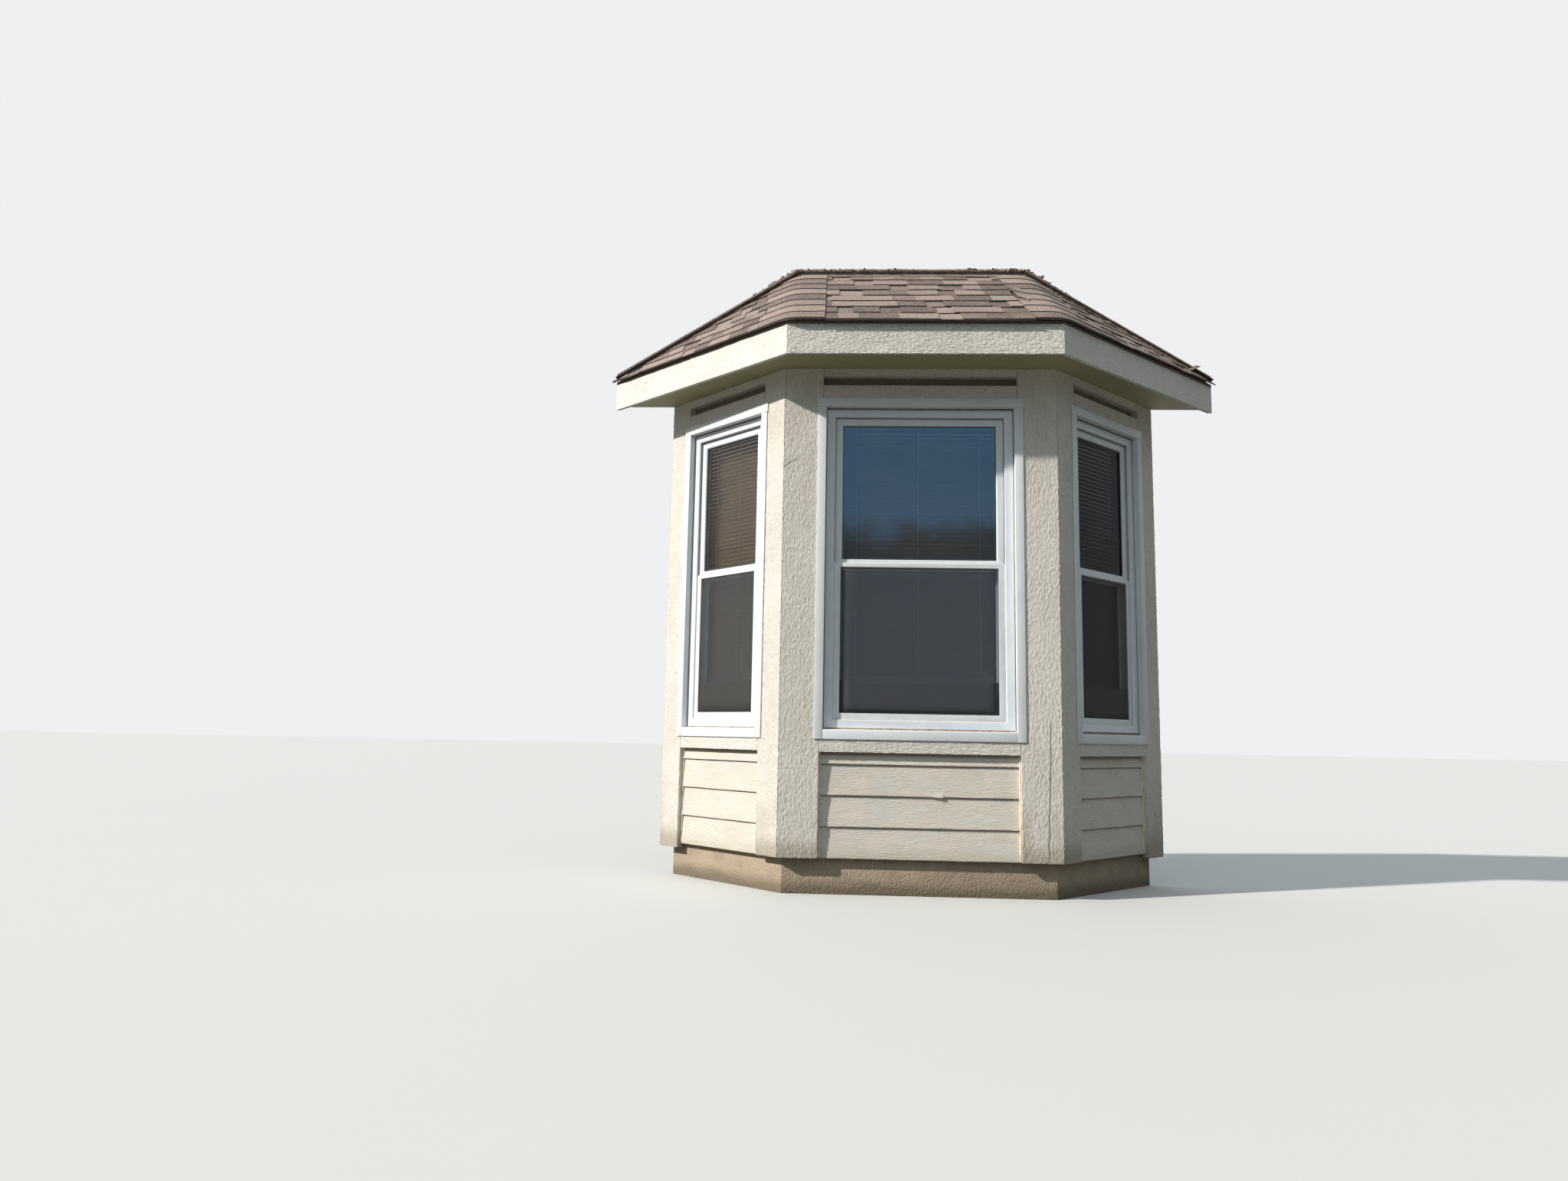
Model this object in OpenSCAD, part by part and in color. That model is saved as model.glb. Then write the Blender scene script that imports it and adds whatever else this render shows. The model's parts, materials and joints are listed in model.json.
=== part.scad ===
// A three-sided bay window for a timber-framed house, with a hipped shingle roof of its own.
// All sizes are in millimetres. Z is up and starts at the underside of the foundation, X runs
// along the house wall from the middle of the bay, and -Y points away from the house.
// A depth is always counted inwards from the outer face of the trim boards.

/* [Bay] */
// Width of the front face over its two corner boards
front_w = 1280; // [1100:10:1700]
// How far the front face stands out from the house wall
projection = 625; // [560:5:760]
// Angle between a side face and the house wall
side_angle = 45; // [40:1:52]
// Height of the foundation that shows below the siding
plinth_h = 160; // [80:5:400]
// Height from the bottom of the siding to the soffit
wall_h = 2280; // [2240:10:2700]
// How far the siding and boards hang down over the foundation
siding_lap = 20; // [10:1:40]

/* [Wall layers] */
// Thickness of the trim boards
trim_t = 38; // [25:1:45]
// Thickness of the lap siding at its thickest
siding_t = 17; // [12:0.5:20]
// Thickness of the framed wall with its sheathing
wall_t = 101; // [95:1:150]
// Thickness of the plasterboard lining
lining_t = 13; // [9:0.5:16]
// How far the foundation face sits behind the trim face
plinth_inset = 52; // [40:1:80]
// Exposed height of a lap siding course
lap_h = 139.7; // [100:0.1:200]
// Size of the hairline joint between neighbouring boards
joint = 0.6; // [0.4:0.1:1.5]

/* [Trim boards] */
// Height of the frieze board under the soffit
frieze_h = 40; // [30:1:60]
// Height of the recess between the frieze board and the header board
recess_h = 42; // [20:1:60]
// Height of the header board over each window
header_h = 64; // [40:1:90]
// Height of the apron board under each window
apron_h = 58; // [40:1:90]

/* [Windows] */
// Width of the front window over its casing
front_window_w = 960; // [800:5:1000]
// Width of a side window over its casing
side_window_w = 640; // [560:5:680]
// Height from the bottom of the siding to the bottom of the casings
sill_h = 532; // [450:5:700]
// Width of a casing at the jambs
casing_w = 40; // [35:1:50]
// Width of a casing at the head
casing_head_w = 42; // [36:1:55]
// Width of a casing at the sill
casing_sill_w = 46; // [38:1:60]
// How far a casing stands proud of the boards
casing_proud = 5; // [4:0.5:14]
// How far a casing laps over the boards
casing_lap = 24; // [15:1:30]
// How far the head casing runs past each jamb casing
casing_ear = 5; // [2:1:12]
// How far a window frame stands in front of the framed wall
frame_out = 11; // [0:0.5:14]
// Depth of the window frame
frame_d = 76; // [76:1:90]
// Width of the window frame that shows inside the casing
frame_face = 44; // [38:1:50]
// Width of a sash stile or rail
sash_w = 44; // [38:1:52]
// Depth of a sash
sash_d = 27; // [24:0.5:30]
// Height of the two check rails where the sashes meet
check_rail_h = 38; // [30:1:44]
// Thickness of a glass pane
glass_t = 6; // [4:0.5:7]
// Width of a side bar and of the bottom bar of the insect screen
screen_bar = 38; // [30:1:40]
// Height of the top bar of the insect screen
screen_top_bar = 20; // [16:1:26]
// Depth of the insect screen
screen_d = 8; // [6:0.5:10]

/* [Blinds] */
// Height of a blind's head rail and of its bottom rail
blind_rail_h = 24; // [18:1:30]
// Spacing of a blind's slats
slat_pitch = 21; // [18:0.5:26]
// Height at which the front blind stops above the casings
front_blind_rise = 270; // [100:5:700]

/* [Roof] */
// Depth of the roof from the house wall to the face of the front fascia
eave_depth = 876; // [840:1:1000]
// Width of the front fascia
eave_front_w = 1248; // [1100:1:1700]
// Width of the eaves where they meet the house wall
eave_wall_w = 3160; // [3100:1:3400]
// Width of the front roof slope where it meets the house wall
ridge_w = 1226; // [1000:1:1500]
// Height from the eaves to the top of the roof at the house wall
roof_rise = 595; // [500:1:700]
// Height of a fascia board
fascia_h = 140; // [120:1:160]
// Thickness of a fascia board
fascia_t = 19; // [17:0.5:25]
// How far the fascia hangs below the soffit
fascia_drop = 18; // [10:1:30]
// Thickness of the soffit panels
soffit_t = 10; // [6:0.5:13]
// Thickness of the roof boarding, measured upright
deck_t = 15; // [10:0.5:20]
// How far the shingles run past the front fascia
shingle_over = 24; // [15:1:30]
// Number of shingle courses
courses = 8; // [6:1:10]
// Thickness of a shingle course at its lower edge, measured upright
butt_t = 9; // [6:0.5:14]
// Height of the wrapped courses over the plain front courses
wrap_lift = 7; // [5:0.5:10]
// Width of the wrapped courses on the front slope, at the house wall
wrap_w = 160; // [100:1:220]
// Width of the right wrapped courses on the front slope, at the eave
right_wrap_low_w = 132; // [90:1:220]

/* [Hidden] */

// Colours
trim_paint = "wheat";
vinyl = "white";

// How far a cutting shape runs past what it cuts
over = 1;
clip = 100;

// Places in plan
shingle_reach = 1 + shingle_over / eave_depth;
wall_y = (eave_depth + shingle_over) / 2;
front_y = wall_y - projection;
side_len = projection / sin(side_angle);
eave_y = wall_y - eave_depth;
eave_angle = atan2(eave_depth, (eave_wall_w - eave_front_w) / 2);

// Depths behind the trim face
sheathing_d = trim_t;
wall_in_d = trim_t + wall_t;
room_d = wall_in_d + lining_t;
siding_d = trim_t - siding_t;
frame_front_d = trim_t - frame_out;
frame_back_d = frame_front_d + frame_d;

// Heights
siding_z = plinth_h;
floor_z = siding_z + siding_lap;
soffit_z = siding_z + wall_h;
fascia_z = soffit_z - fascia_drop;
eave_z = fascia_z + fascia_h;
ridge_z = eave_z + roof_rise;
wall_top_z = soffit_z + soffit_t;
casing_z = siding_z + sill_h;
casing_top_z = soffit_z - frieze_h - recess_h - header_h;
casing_h = casing_top_z - casing_z;

// The window inside its casing
frame_hidden = 10;
sash_hidden = 10;
lip_d = 7;
track_w = frame_hidden + frame_face - sash_hidden;
shim = 6;
frame_z = casing_z + casing_sill_w - frame_hidden;
frame_h = casing_h - casing_sill_w - casing_head_w + 2 * frame_hidden;
back_stop_t = 2;
sash_play = 0.5;
sash_gap = 3;
divider_t = 2.4;
divider_in = 4;
lip_bevel = 3;
lower_sash_d = frame_back_d - back_stop_t - sash_play - sash_d;
upper_sash_d = lower_sash_d - sash_gap - sash_d;
screen_front_d = frame_front_d + lip_d + sash_play;
sash_clear = 2;
sash_seat = track_w + sash_clear;
check_rise = 8;
check_z = frame_z + frame_h / 2 + check_rise;
groove = 8;
bead = 4;
glass_play = 0.2;
sill_fall = 3;
function frame_w(w) = w - 2 * casing_w + 2 * frame_hidden;
function sash_out_w(w) = frame_w(w) - 2 * sash_seat;

// The roof
ridge_half = ridge_w / 2;
side_run = (eave_front_w / 2 - ridge_half) * sin(eave_angle) + eave_depth * cos(eave_angle);
function hip_x(u) = ridge_half + u * (eave_front_w / 2 - ridge_half);
function verge_x(u) = ridge_half + u * (eave_wall_w / 2 - ridge_half);
function slope_y(u) = wall_y - u * eave_depth;
// Share of the way down the slope at which the side slope meets the wall at this x
function verge_u(x) = (abs(x) - ridge_half) / (eave_wall_w / 2 - ridge_half);
// Share of the way down for a point of the roof in plan
function eave_y_at(x) = abs(x) <= eave_front_w / 2 ? eave_y
    : wall_y - (eave_wall_w / 2 - abs(x)) * tan(eave_angle);
function top_z_at(x) = abs(x) <= ridge_half ? ridge_z : ridge_z - roof_rise * verge_u(x);

// Half widths of the bay at a depth behind the trim face
function half_front(d) = front_w / 2 - d * tan(side_angle / 2);
function half_back(d) = front_w / 2 + projection / tan(side_angle) - d / sin(side_angle);

// Outline of the bay at a depth behind the trim face
function bay_plan(d) = [[-half_back(d), wall_y], [-half_front(d), front_y + d],
    [half_front(d), front_y + d], [half_back(d), wall_y]];

// Outline of the eaves, moved inwards by d
function eave_plan(d) = [
    [-eave_wall_w / 2 + d / sin(eave_angle), wall_y],
    [-eave_front_w / 2 + d * tan(eave_angle / 2), eave_y + d],
    [eave_front_w / 2 - d * tan(eave_angle / 2), eave_y + d],
    [eave_wall_w / 2 - d / sin(eave_angle), wall_y]];

// A prism over a plan outline
module plan_prism(outline, z1, z2) {
    translate([0, 0, z1]) linear_extrude(z2 - z1) polygon(outline);
}

// The same for a space that runs out through the house wall
module room_space(d, z1, z2) {
    plan_prism(concat([[-half_back(d), wall_y + over]], bay_plan(d),
        [[half_back(d), wall_y + over]]), z1, z2);
}

// Places its children on a face: x along the face from its middle, y inwards, z up
module on_front() {
    translate([0, front_y, 0]) children();
}

module on_right() {
    translate([front_w / 2, front_y, 0]) rotate([0, 0, side_angle])
        translate([side_len / 2, 0, 0]) children();
}

module on_left() {
    mirror([1, 0, 0]) on_right() children();
}

// A layer of the front face between two depths, mitred at the corners
module front_layer(d1, d2, z1, z2) {
    plan_prism([[-half_front(d1), front_y + d1], [half_front(d1), front_y + d1],
        [half_front(d2), front_y + d2], [-half_front(d2), front_y + d2]], z1, z2);
}

// A layer of the right face between two depths, mitred at the corner and cut at the wall
module right_layer(d1, d2, z1, z2) {
    plan_prism([[half_front(d1), front_y + d1], [half_back(d1), wall_y],
        [half_back(d2), wall_y], [half_front(d2), front_y + d2]], z1, z2);
}

// An upright block on a face: width w about x, between two depths and two heights
module face_block(x, w, d1, d2, z1, z2) {
    translate([x - w / 2, d1, z1]) cube([w, d2 - d1, z2 - z1]);
}

// The clear space through a framed wall for a window of casing width w
module rough_opening(w) {
    open_w = frame_w(w) + 2 * shim;
    face_block(0, open_w, -over, room_d + over, frame_z - shim, frame_z + frame_h + shim);
}

// Foundation

module foundation() {
    color("rosybrown") plan_prism(bay_plan(plinth_inset), 0, floor_z);
}

// Walls

module front_wall() {
    color("burlywood") difference() {
        front_layer(sheathing_d, wall_in_d, floor_z, wall_top_z);
        on_front() rough_opening(front_window_w);
    }
}

module side_wall_shape() {
    difference() {
        right_layer(sheathing_d, wall_in_d, floor_z, wall_top_z);
        on_right() rough_opening(side_window_w);
    }
}

module right_wall() {
    color("burlywood") side_wall_shape();
}

module left_wall() {
    color("burlywood") mirror([1, 0, 0]) side_wall_shape();
}

// The inside of the window openings, with the lining returned to the frame
module lining_opening(w) {
    open_w = frame_w(w) + 2 * shim;
    open_h = frame_h + 2 * shim;
    difference() {
        face_block(0, open_w, frame_back_d, room_d, frame_z - shim, frame_z - shim + open_h);
        face_block(0, open_w - 2 * lining_t, frame_back_d - over, room_d + over,
            frame_z - shim + lining_t, frame_z - shim + open_h - lining_t);
    }
}

module lining_hole(w) {
    face_block(0, frame_w(w) + 2 * shim - 2 * lining_t, wall_in_d - over, room_d + over,
        frame_z - shim + lining_t, frame_z + frame_h + shim - lining_t);
}

module wall_lining() {
    color("whitesmoke") union() {
        difference() {
            plan_prism(bay_plan(wall_in_d), floor_z, wall_top_z - lining_t);
            room_space(room_d, floor_z - over, wall_top_z);
            on_front() lining_hole(front_window_w);
            on_right() lining_hole(side_window_w);
            on_left() lining_hole(side_window_w);
        }
        on_front() lining_opening(front_window_w);
        intersection() {
            plan_prism(bay_plan(frame_back_d), floor_z, wall_top_z);
            union() {
                on_right() lining_opening(side_window_w);
                on_left() lining_opening(side_window_w);
            }
        }
    }
}

module ceiling() {
    color("white") plan_prism(bay_plan(wall_in_d), wall_top_z - lining_t, wall_top_z);
}

// Trim boards

side_board_w = side_len / 2 - side_window_w / 2 + casing_lap;
front_board_w = front_w / 2 - front_window_w / 2 + casing_lap;

module front_corner_board_shape() {
    inner_x = front_w / 2 - front_board_w;
    plan_prism([[inner_x, front_y], [front_w / 2, front_y],
        [half_front(trim_t), front_y + trim_t], [inner_x, front_y + trim_t]],
        siding_z, soffit_z);
}

module side_corner_board_shape() {
    intersection() {
        right_layer(0, trim_t, siding_z, soffit_z);
        on_right() face_block(-side_len / 2 + side_board_w / 2, side_board_w,
            -over, trim_t + over, siding_z, soffit_z);
    }
}

// The board beside the house wall, which hangs a little lower than the siding
module wall_board_shape() {
    intersection() {
        right_layer(0, trim_t, siding_z - siding_lap, soffit_z);
        on_right() face_block(side_len / 2 + (clip - side_board_w) / 2, side_board_w + clip,
            -over, trim_t + over, 0, soffit_z);
    }
}

module left_front_corner_board() {
    color(trim_paint) mirror([1, 0, 0]) front_corner_board_shape();
}

module right_front_corner_board() {
    color(trim_paint) front_corner_board_shape();
}

module left_side_corner_board() {
    color(trim_paint) mirror([1, 0, 0]) side_corner_board_shape();
}

module right_side_corner_board() {
    color(trim_paint) side_corner_board_shape();
}

module left_wall_board() {
    color(trim_paint) mirror([1, 0, 0]) wall_board_shape();
}

module right_wall_board() {
    color(trim_paint) wall_board_shape();
}

// A level board between the upright boards of each face
module level_boards(z1, z2) {
    on_front() face_block(0, front_w - 2 * front_board_w - joint, 0, trim_t, z1, z2);
    on_right() face_block(0, side_len - 2 * side_board_w - joint, 0, trim_t, z1, z2);
    on_left() face_block(0, side_len - 2 * side_board_w - joint, 0, trim_t, z1, z2);
}

module frieze_boards() {
    color(trim_paint) level_boards(soffit_z - frieze_h, soffit_z);
}

module header_boards() {
    color(trim_paint) level_boards(casing_top_z - casing_lap, casing_top_z + header_h);
}

module apron_boards() {
    color(trim_paint) level_boards(casing_z - apron_h, casing_z + casing_lap);
}

// Lap siding: each course is thick at its lower edge and thinner where the next one starts
siding_top_z = casing_z + casing_lap;
siding_top_t = siding_t / 2;
siding_courses = ceil((siding_top_z - siding_z) / lap_h);

function lap_profile() = concat(
    [[trim_t, siding_z]],
    [for (i = [0:siding_courses - 1]) each [
        [siding_d, siding_z + i * lap_h],
        [trim_t - siding_top_t, min(siding_z + (i + 1) * lap_h, siding_top_z)]]],
    [[trim_t, siding_top_z]]);

module siding_panel(w) {
    translate([-w / 2, 0, 0]) rotate([90, 0, 90]) linear_extrude(w) polygon(lap_profile());
}

module front_siding() {
    color("antiquewhite") on_front() intersection() {
        siding_panel(front_w - 2 * front_board_w - joint);
        face_block(0, front_w, 0, trim_t, siding_z, casing_z - apron_h - joint);
    }
}

module side_siding_shape() {
    intersection() {
        siding_panel(side_len - 2 * side_board_w - joint);
        face_block(0, side_len, 0, trim_t, siding_z, casing_z - apron_h - joint);
    }
}

module left_siding() {
    color("antiquewhite") on_left() side_siding_shape();
}

module right_siding() {
    color("antiquewhite") on_right() side_siding_shape();
}

// Windows

// One side of a four-sided frame, mitred at both ends. Its outer edge lies at z = 0.
module mitred_bar(length, bar, profile) {
    intersection() {
        translate([-length / 2, 0, 0]) rotate([90, 0, 90]) linear_extrude(length)
            polygon([for (p = profile) [p[1], p[0]]]);
        translate([0, room_d, 0]) rotate([90, 0, 0]) linear_extrude(2 * room_d)
            polygon([[-length / 2, 0], [length / 2, 0],
                [length / 2 - bar, bar], [-length / 2 + bar, bar]]);
    }
}

// A four-sided frame. The profile is given as [distance from the outer edge, depth].
module mitred_frame(w, h, bar, profile) {
    for (m = [0, 1]) {
        mirror([0, 0, m]) translate([0, 0, -h / 2]) mitred_bar(w, bar, profile);
        mirror([m, 0, 0]) rotate([0, 90, 0]) translate([0, 0, -w / 2])
            mitred_bar(h, bar, profile);
    }
}

// A casing of four boards, rebated over the trim boards and deep enough to reach the frame
module casing(w) {
    inner = w / 2 - casing_w;
    lip_z = casing_top_z - casing_head_w;
    // Head, with its ears
    face_block(0, w + 2 * casing_ear, -casing_proud, 0, lip_z, casing_top_z);
    face_block(0, w - 2 * casing_lap - joint, 0, frame_front_d, lip_z,
        casing_top_z - casing_lap - joint);
    // Jambs
    for (m = [0, 1]) mirror([m, 0, 0]) {
        face_block(w / 2 - casing_w / 2, casing_w, -casing_proud, 0,
            casing_z, lip_z - joint);
        face_block(inner + (casing_w - casing_lap - joint) / 2, casing_w - casing_lap - joint,
            0, frame_front_d, casing_z + casing_lap + joint, lip_z - joint);
    }
    // Sill, sloping outwards
    translate([-inner + joint, 0, 0]) rotate([90, 0, 90])
        linear_extrude(2 * (inner - joint)) polygon([
            [-casing_proud, casing_z], [0, casing_z], [0, casing_z + casing_lap + joint],
            [frame_front_d, casing_z + casing_lap + joint],
            [frame_front_d, casing_z + casing_sill_w],
            [-casing_proud, casing_z + casing_sill_w - sill_fall]]);
}

// The frame has a lip in front, a track for each sash and a stop at the back
module window_frame(w) {
    lip_w = frame_hidden + frame_face;
    between = lower_sash_d - sash_gap / 2 - divider_t / 2;
    translate([0, 0, frame_z + frame_h / 2])
        mitred_frame(frame_w(w), frame_h, lip_w, [
            [0, frame_front_d], [lip_w - lip_bevel, frame_front_d],
            [lip_w, frame_front_d + lip_bevel], [lip_w, frame_front_d + lip_d],
            [track_w, frame_front_d + lip_d], [track_w, between],
            [lip_w - divider_in, between], [lip_w - divider_in, between + divider_t],
            [track_w, between + divider_t], [track_w, frame_back_d - back_stop_t],
            [lip_w, frame_back_d - back_stop_t], [lip_w, frame_back_d], [0, frame_back_d]]);
}

// A sash ring with a glazing groove, its outer face at depth d
module sash(w, h, d, z_mid) {
    g1 = (sash_d - glass_t) / 2 - glass_play;
    g2 = (sash_d + glass_t) / 2 + glass_play;
    translate([0, 0, z_mid]) mitred_frame(w, h, sash_w, [
        [0, d], [sash_w - bead, d], [sash_w, d + bead], [sash_w, d + g1],
        [sash_w - groove, d + g1], [sash_w - groove, d + g2], [sash_w, d + g2],
        [sash_w, d + sash_d - bead], [sash_w - bead, d + sash_d], [0, d + sash_d]]);
}

upper_sash_z1 = check_z - check_rail_h / 2;
upper_sash_z2 = frame_z + frame_h - sash_seat;
lower_sash_z1 = frame_z + sash_seat;
lower_sash_z2 = check_z + check_rail_h / 2;

module upper_sash(w) {
    sash(sash_out_w(w), upper_sash_z2 - upper_sash_z1, upper_sash_d,
        (upper_sash_z1 + upper_sash_z2) / 2);
}

module lower_sash(w) {
    sash(sash_out_w(w), lower_sash_z2 - lower_sash_z1, lower_sash_d,
        (lower_sash_z1 + lower_sash_z2) / 2);
}

// Both panes of a window, seated in the sash grooves
module glass(w) {
    edge = sash_w - groove + glass_play;
    pane_w = sash_out_w(w) - 2 * edge;
    seat_d = (sash_d - glass_t) / 2;
    face_block(0, pane_w, upper_sash_d + seat_d, upper_sash_d + seat_d + glass_t,
        upper_sash_z1 + edge, upper_sash_z2 - edge);
    face_block(0, pane_w, lower_sash_d + seat_d, lower_sash_d + seat_d + glass_t,
        lower_sash_z1 + edge, lower_sash_z2 - edge);
}

// The half screen: a thin frame with a sheet of mesh
screen_above = 7;
mesh_t = 0.8;
mesh_in = 2;

module screen(w) {
    z1 = frame_z + sash_seat;
    z2 = check_z + screen_above;
    ring_z2 = z2 + screen_bar - screen_top_bar;
    out_w = sash_out_w(w);
    mesh_d = screen_front_d + screen_d - mesh_in - mesh_t;
    intersection() {
        translate([0, 0, (z1 + ring_z2) / 2]) mitred_frame(out_w, ring_z2 - z1, screen_bar, [
            [0, screen_front_d], [screen_bar, screen_front_d],
            [screen_bar, screen_front_d + screen_d], [0, screen_front_d + screen_d]]);
        face_block(0, out_w + 2 * over, screen_front_d - over, screen_front_d + screen_d + over,
            z1 - over, z2);
    }
    face_block(0, out_w - screen_bar, mesh_d, mesh_d + mesh_t,
        z1 + screen_bar / 2, z2 - screen_top_bar / 2);
}

// A slatted blind hung inside the opening, with its slats closed
blind_d = frame_back_d + 4;
blind_t = 22;
blind_rail_step = 2;
blind_side_gap = 6;
blind_foot_gap = 3;
slat_t = 2.5;
slat_in = 4;
slat_tilt = 5;
slat_reach = 0.95;

// Section of the closed slats: each one leans inwards as it rises to the next
function slat_profile(z1, z2) = let (
        n = floor((z2 - z1) / slat_pitch),
        mid = blind_d + blind_t / 2,
        low_d = mid - slat_in,
        high_d = mid - slat_in + slat_tilt)
    concat([for (i = [0:n - 1]) each [[low_d, z1 + i * slat_pitch],
            [high_d, z1 + (i + slat_reach) * slat_pitch]]],
        [[mid - slat_t / 2, z1 + n * slat_pitch], [mid - slat_t / 2, z2], [mid + slat_t / 2, z2]],
        [for (i = [n - 1:-1:0]) each [[high_d + slat_t, z1 + (i + slat_reach) * slat_pitch],
            [low_d + slat_t, z1 + i * slat_pitch]]]);

module blind(w, z1) {
    blind_w = frame_w(w) + 2 * shim - 2 * lining_t - 2 * blind_side_gap;
    z2 = frame_z + frame_h + shim - lining_t;
    face_block(0, blind_w, blind_d, blind_d + blind_t, z2 - blind_rail_h, z2);
    translate([-blind_w / 2, 0, 0]) rotate([90, 0, 90]) linear_extrude(blind_w)
        polygon(slat_profile(z1 + blind_rail_h / 2, z2 - blind_rail_h + over));
    face_block(0, blind_w, blind_d + blind_rail_step, blind_d + blind_t - blind_rail_step,
        z1, z1 + blind_rail_h);
}

side_blind_z = frame_z - shim + lining_t + blind_foot_gap;
front_blind_z = casing_z + front_blind_rise;

module front_casing() { color(vinyl) on_front() casing(front_window_w); }
module front_window_frame() { color(vinyl) on_front() window_frame(front_window_w); }
module front_upper_sash() { color(vinyl) on_front() upper_sash(front_window_w); }
module front_lower_sash() { color(vinyl) on_front() lower_sash(front_window_w); }
module front_glass() { color("lightsteelblue") on_front() glass(front_window_w); }
module front_screen() { color("dimgray") on_front() screen(front_window_w); }
module front_blind() { color("tan") on_front() blind(front_window_w, front_blind_z); }

module left_casing() { color(vinyl) on_left() casing(side_window_w); }
module left_window_frame() { color(vinyl) on_left() window_frame(side_window_w); }
module left_upper_sash() { color(vinyl) on_left() upper_sash(side_window_w); }
module left_lower_sash() { color(vinyl) on_left() lower_sash(side_window_w); }
module left_glass() { color("lightsteelblue") on_left() glass(side_window_w); }
module left_screen() { color("dimgray") on_left() screen(side_window_w); }
module left_blind() { color("tan") on_left() blind(side_window_w, side_blind_z); }

module right_casing() { color(vinyl) on_right() casing(side_window_w); }
module right_window_frame() { color(vinyl) on_right() window_frame(side_window_w); }
module right_upper_sash() { color(vinyl) on_right() upper_sash(side_window_w); }
module right_lower_sash() { color(vinyl) on_right() lower_sash(side_window_w); }
module right_glass() { color("lightsteelblue") on_right() glass(side_window_w); }
module right_screen() { color("dimgray") on_right() screen(side_window_w); }
module right_blind() { color("tan") on_right() blind(side_window_w, side_blind_z); }

// Eaves

// The soffit is three panels between the fascia and the top of the trim boards
module soffit() {
    half = [joint / 2, 0];
    start = eave_plan(fascia_t)[2] - [0, over];
    bend = bay_plan(0)[2];
    end = bay_plan(sheathing_d)[2] + [0, over];
    color("beige") difference() {
        plan_prism(eave_plan(fascia_t), soffit_z, soffit_z + soffit_t);
        room_space(sheathing_d, soffit_z - over, soffit_z + soffit_t + over);
        for (m = [0, 1]) mirror([m, 0, 0])
            plan_prism([start - half, start + half, bend + half, end + half, end - half,
                bend - half], soffit_z - over, wall_top_z + over);
    }
}

module front_fascia() {
    outer = eave_plan(0);
    inner = eave_plan(fascia_t);
    color("ivory") plan_prism([outer[1], outer[2], inner[2], inner[1]], fascia_z, eave_z);
}

module side_fascia_shape() {
    outer = eave_plan(0);
    inner = eave_plan(fascia_t);
    plan_prism([outer[2], outer[3], inner[3], inner[2]], fascia_z, eave_z);
}

module right_fascia() {
    color("ivory") side_fascia_shape();
}

module left_fascia() {
    color("ivory") mirror([1, 0, 0]) side_fascia_shape();
}

// Roof

frame_base_z = wall_top_z;
chord_h = 89;
rafter_h = 105;
timber_t = 38;
bent_x = [0, 280, 560, 880, 1200];
top_ledger_h = 142;
side_ledger_run = 260;
ledger_gap = 2;

// A ceiling joist and, apart from it, a rafter, both cut off later at the fascia
module roof_bent(x) {
    y1 = eave_y_at(x);
    y2 = wall_y - timber_t - joint;
    fall = (top_z_at(x) - eave_z) / (wall_y - y1);
    z2 = top_z_at(x) - (wall_y - y2) * fall;
    low = frame_base_z + chord_h + joint;
    meet_y = y1 + (low - eave_z + rafter_h) / fall;
    translate([x - timber_t / 2, 0, 0]) rotate([90, 0, 90]) linear_extrude(timber_t) {
        polygon([[y1, frame_base_z], [y2, frame_base_z], [y2, low - joint], [y1, low - joint]]);
        polygon([[y1, low], [meet_y, low], [y2, z2 - rafter_h], [y2, z2], [y1, eave_z]]);
    }
}

// The boards against the house wall that carry the joists and the rafters
module roof_ledgers() {
    low_half = eave_wall_w / 2 - fascia_t / sin(eave_angle) - ledger_gap;
    low_z = frame_base_z + chord_h;
    rake_half = verge_x((ridge_z - low_z) / roof_rise);
    translate([0, wall_y, 0]) rotate([90, 0, 0]) linear_extrude(timber_t) {
        polygon([[-low_half, frame_base_z], [low_half, frame_base_z], [low_half, low_z],
            [-low_half, low_z]]);
        polygon([[-ridge_half, ridge_z], [ridge_half, ridge_z],
            [ridge_half, ridge_z - top_ledger_h], [-ridge_half, ridge_z - top_ledger_h]]);
        for (m = [-1, 1]) polygon([
            [m * (ridge_half + joint), ridge_z], [m * rake_half, low_z + joint],
            [m * (rake_half - side_ledger_run), low_z + joint],
            [m * (ridge_half + joint), ridge_z - top_ledger_h]]);
    }
}

// The space under the roof boarding
module under_roof() {
    intersection() {
        front_slope([[0, ridge_z], [eave_depth, eave_z], [eave_depth, soffit_z], [0, soffit_z]]);
        plan_prism(front_slope_plan(1), soffit_z, roof_high_z);
    }
    for (m = [0, 1]) mirror([m, 0, 0]) intersection() {
        right_slope([[0, ridge_z], [side_run, eave_z], [side_run, soffit_z], [0, soffit_z]]);
        plan_prism(right_slope_plan(1), soffit_z, roof_high_z);
    }
}

module roof_frame() {
    color("peru") intersection() {
        union() {
            roof_ledgers();
            for (x = bent_x, m = [-1, 1]) if (x > 0 || m > 0) roof_bent(m * x);
        }
        under_roof();
        plan_prism(eave_plan(fascia_t + joint), soffit_z, roof_high_z);
    }
}

// Cross-section of a roof covering: [distance from the house wall, height]
function deck_profile(run, v1, v2, reach) = [
    [0, ridge_z + v1], [run * reach, ridge_z - roof_rise * reach + v1],
    [run * reach, ridge_z - roof_rise * reach + v2], [0, ridge_z + v2]];

// The same with stepped courses on top
course_top_t = 3;

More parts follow.
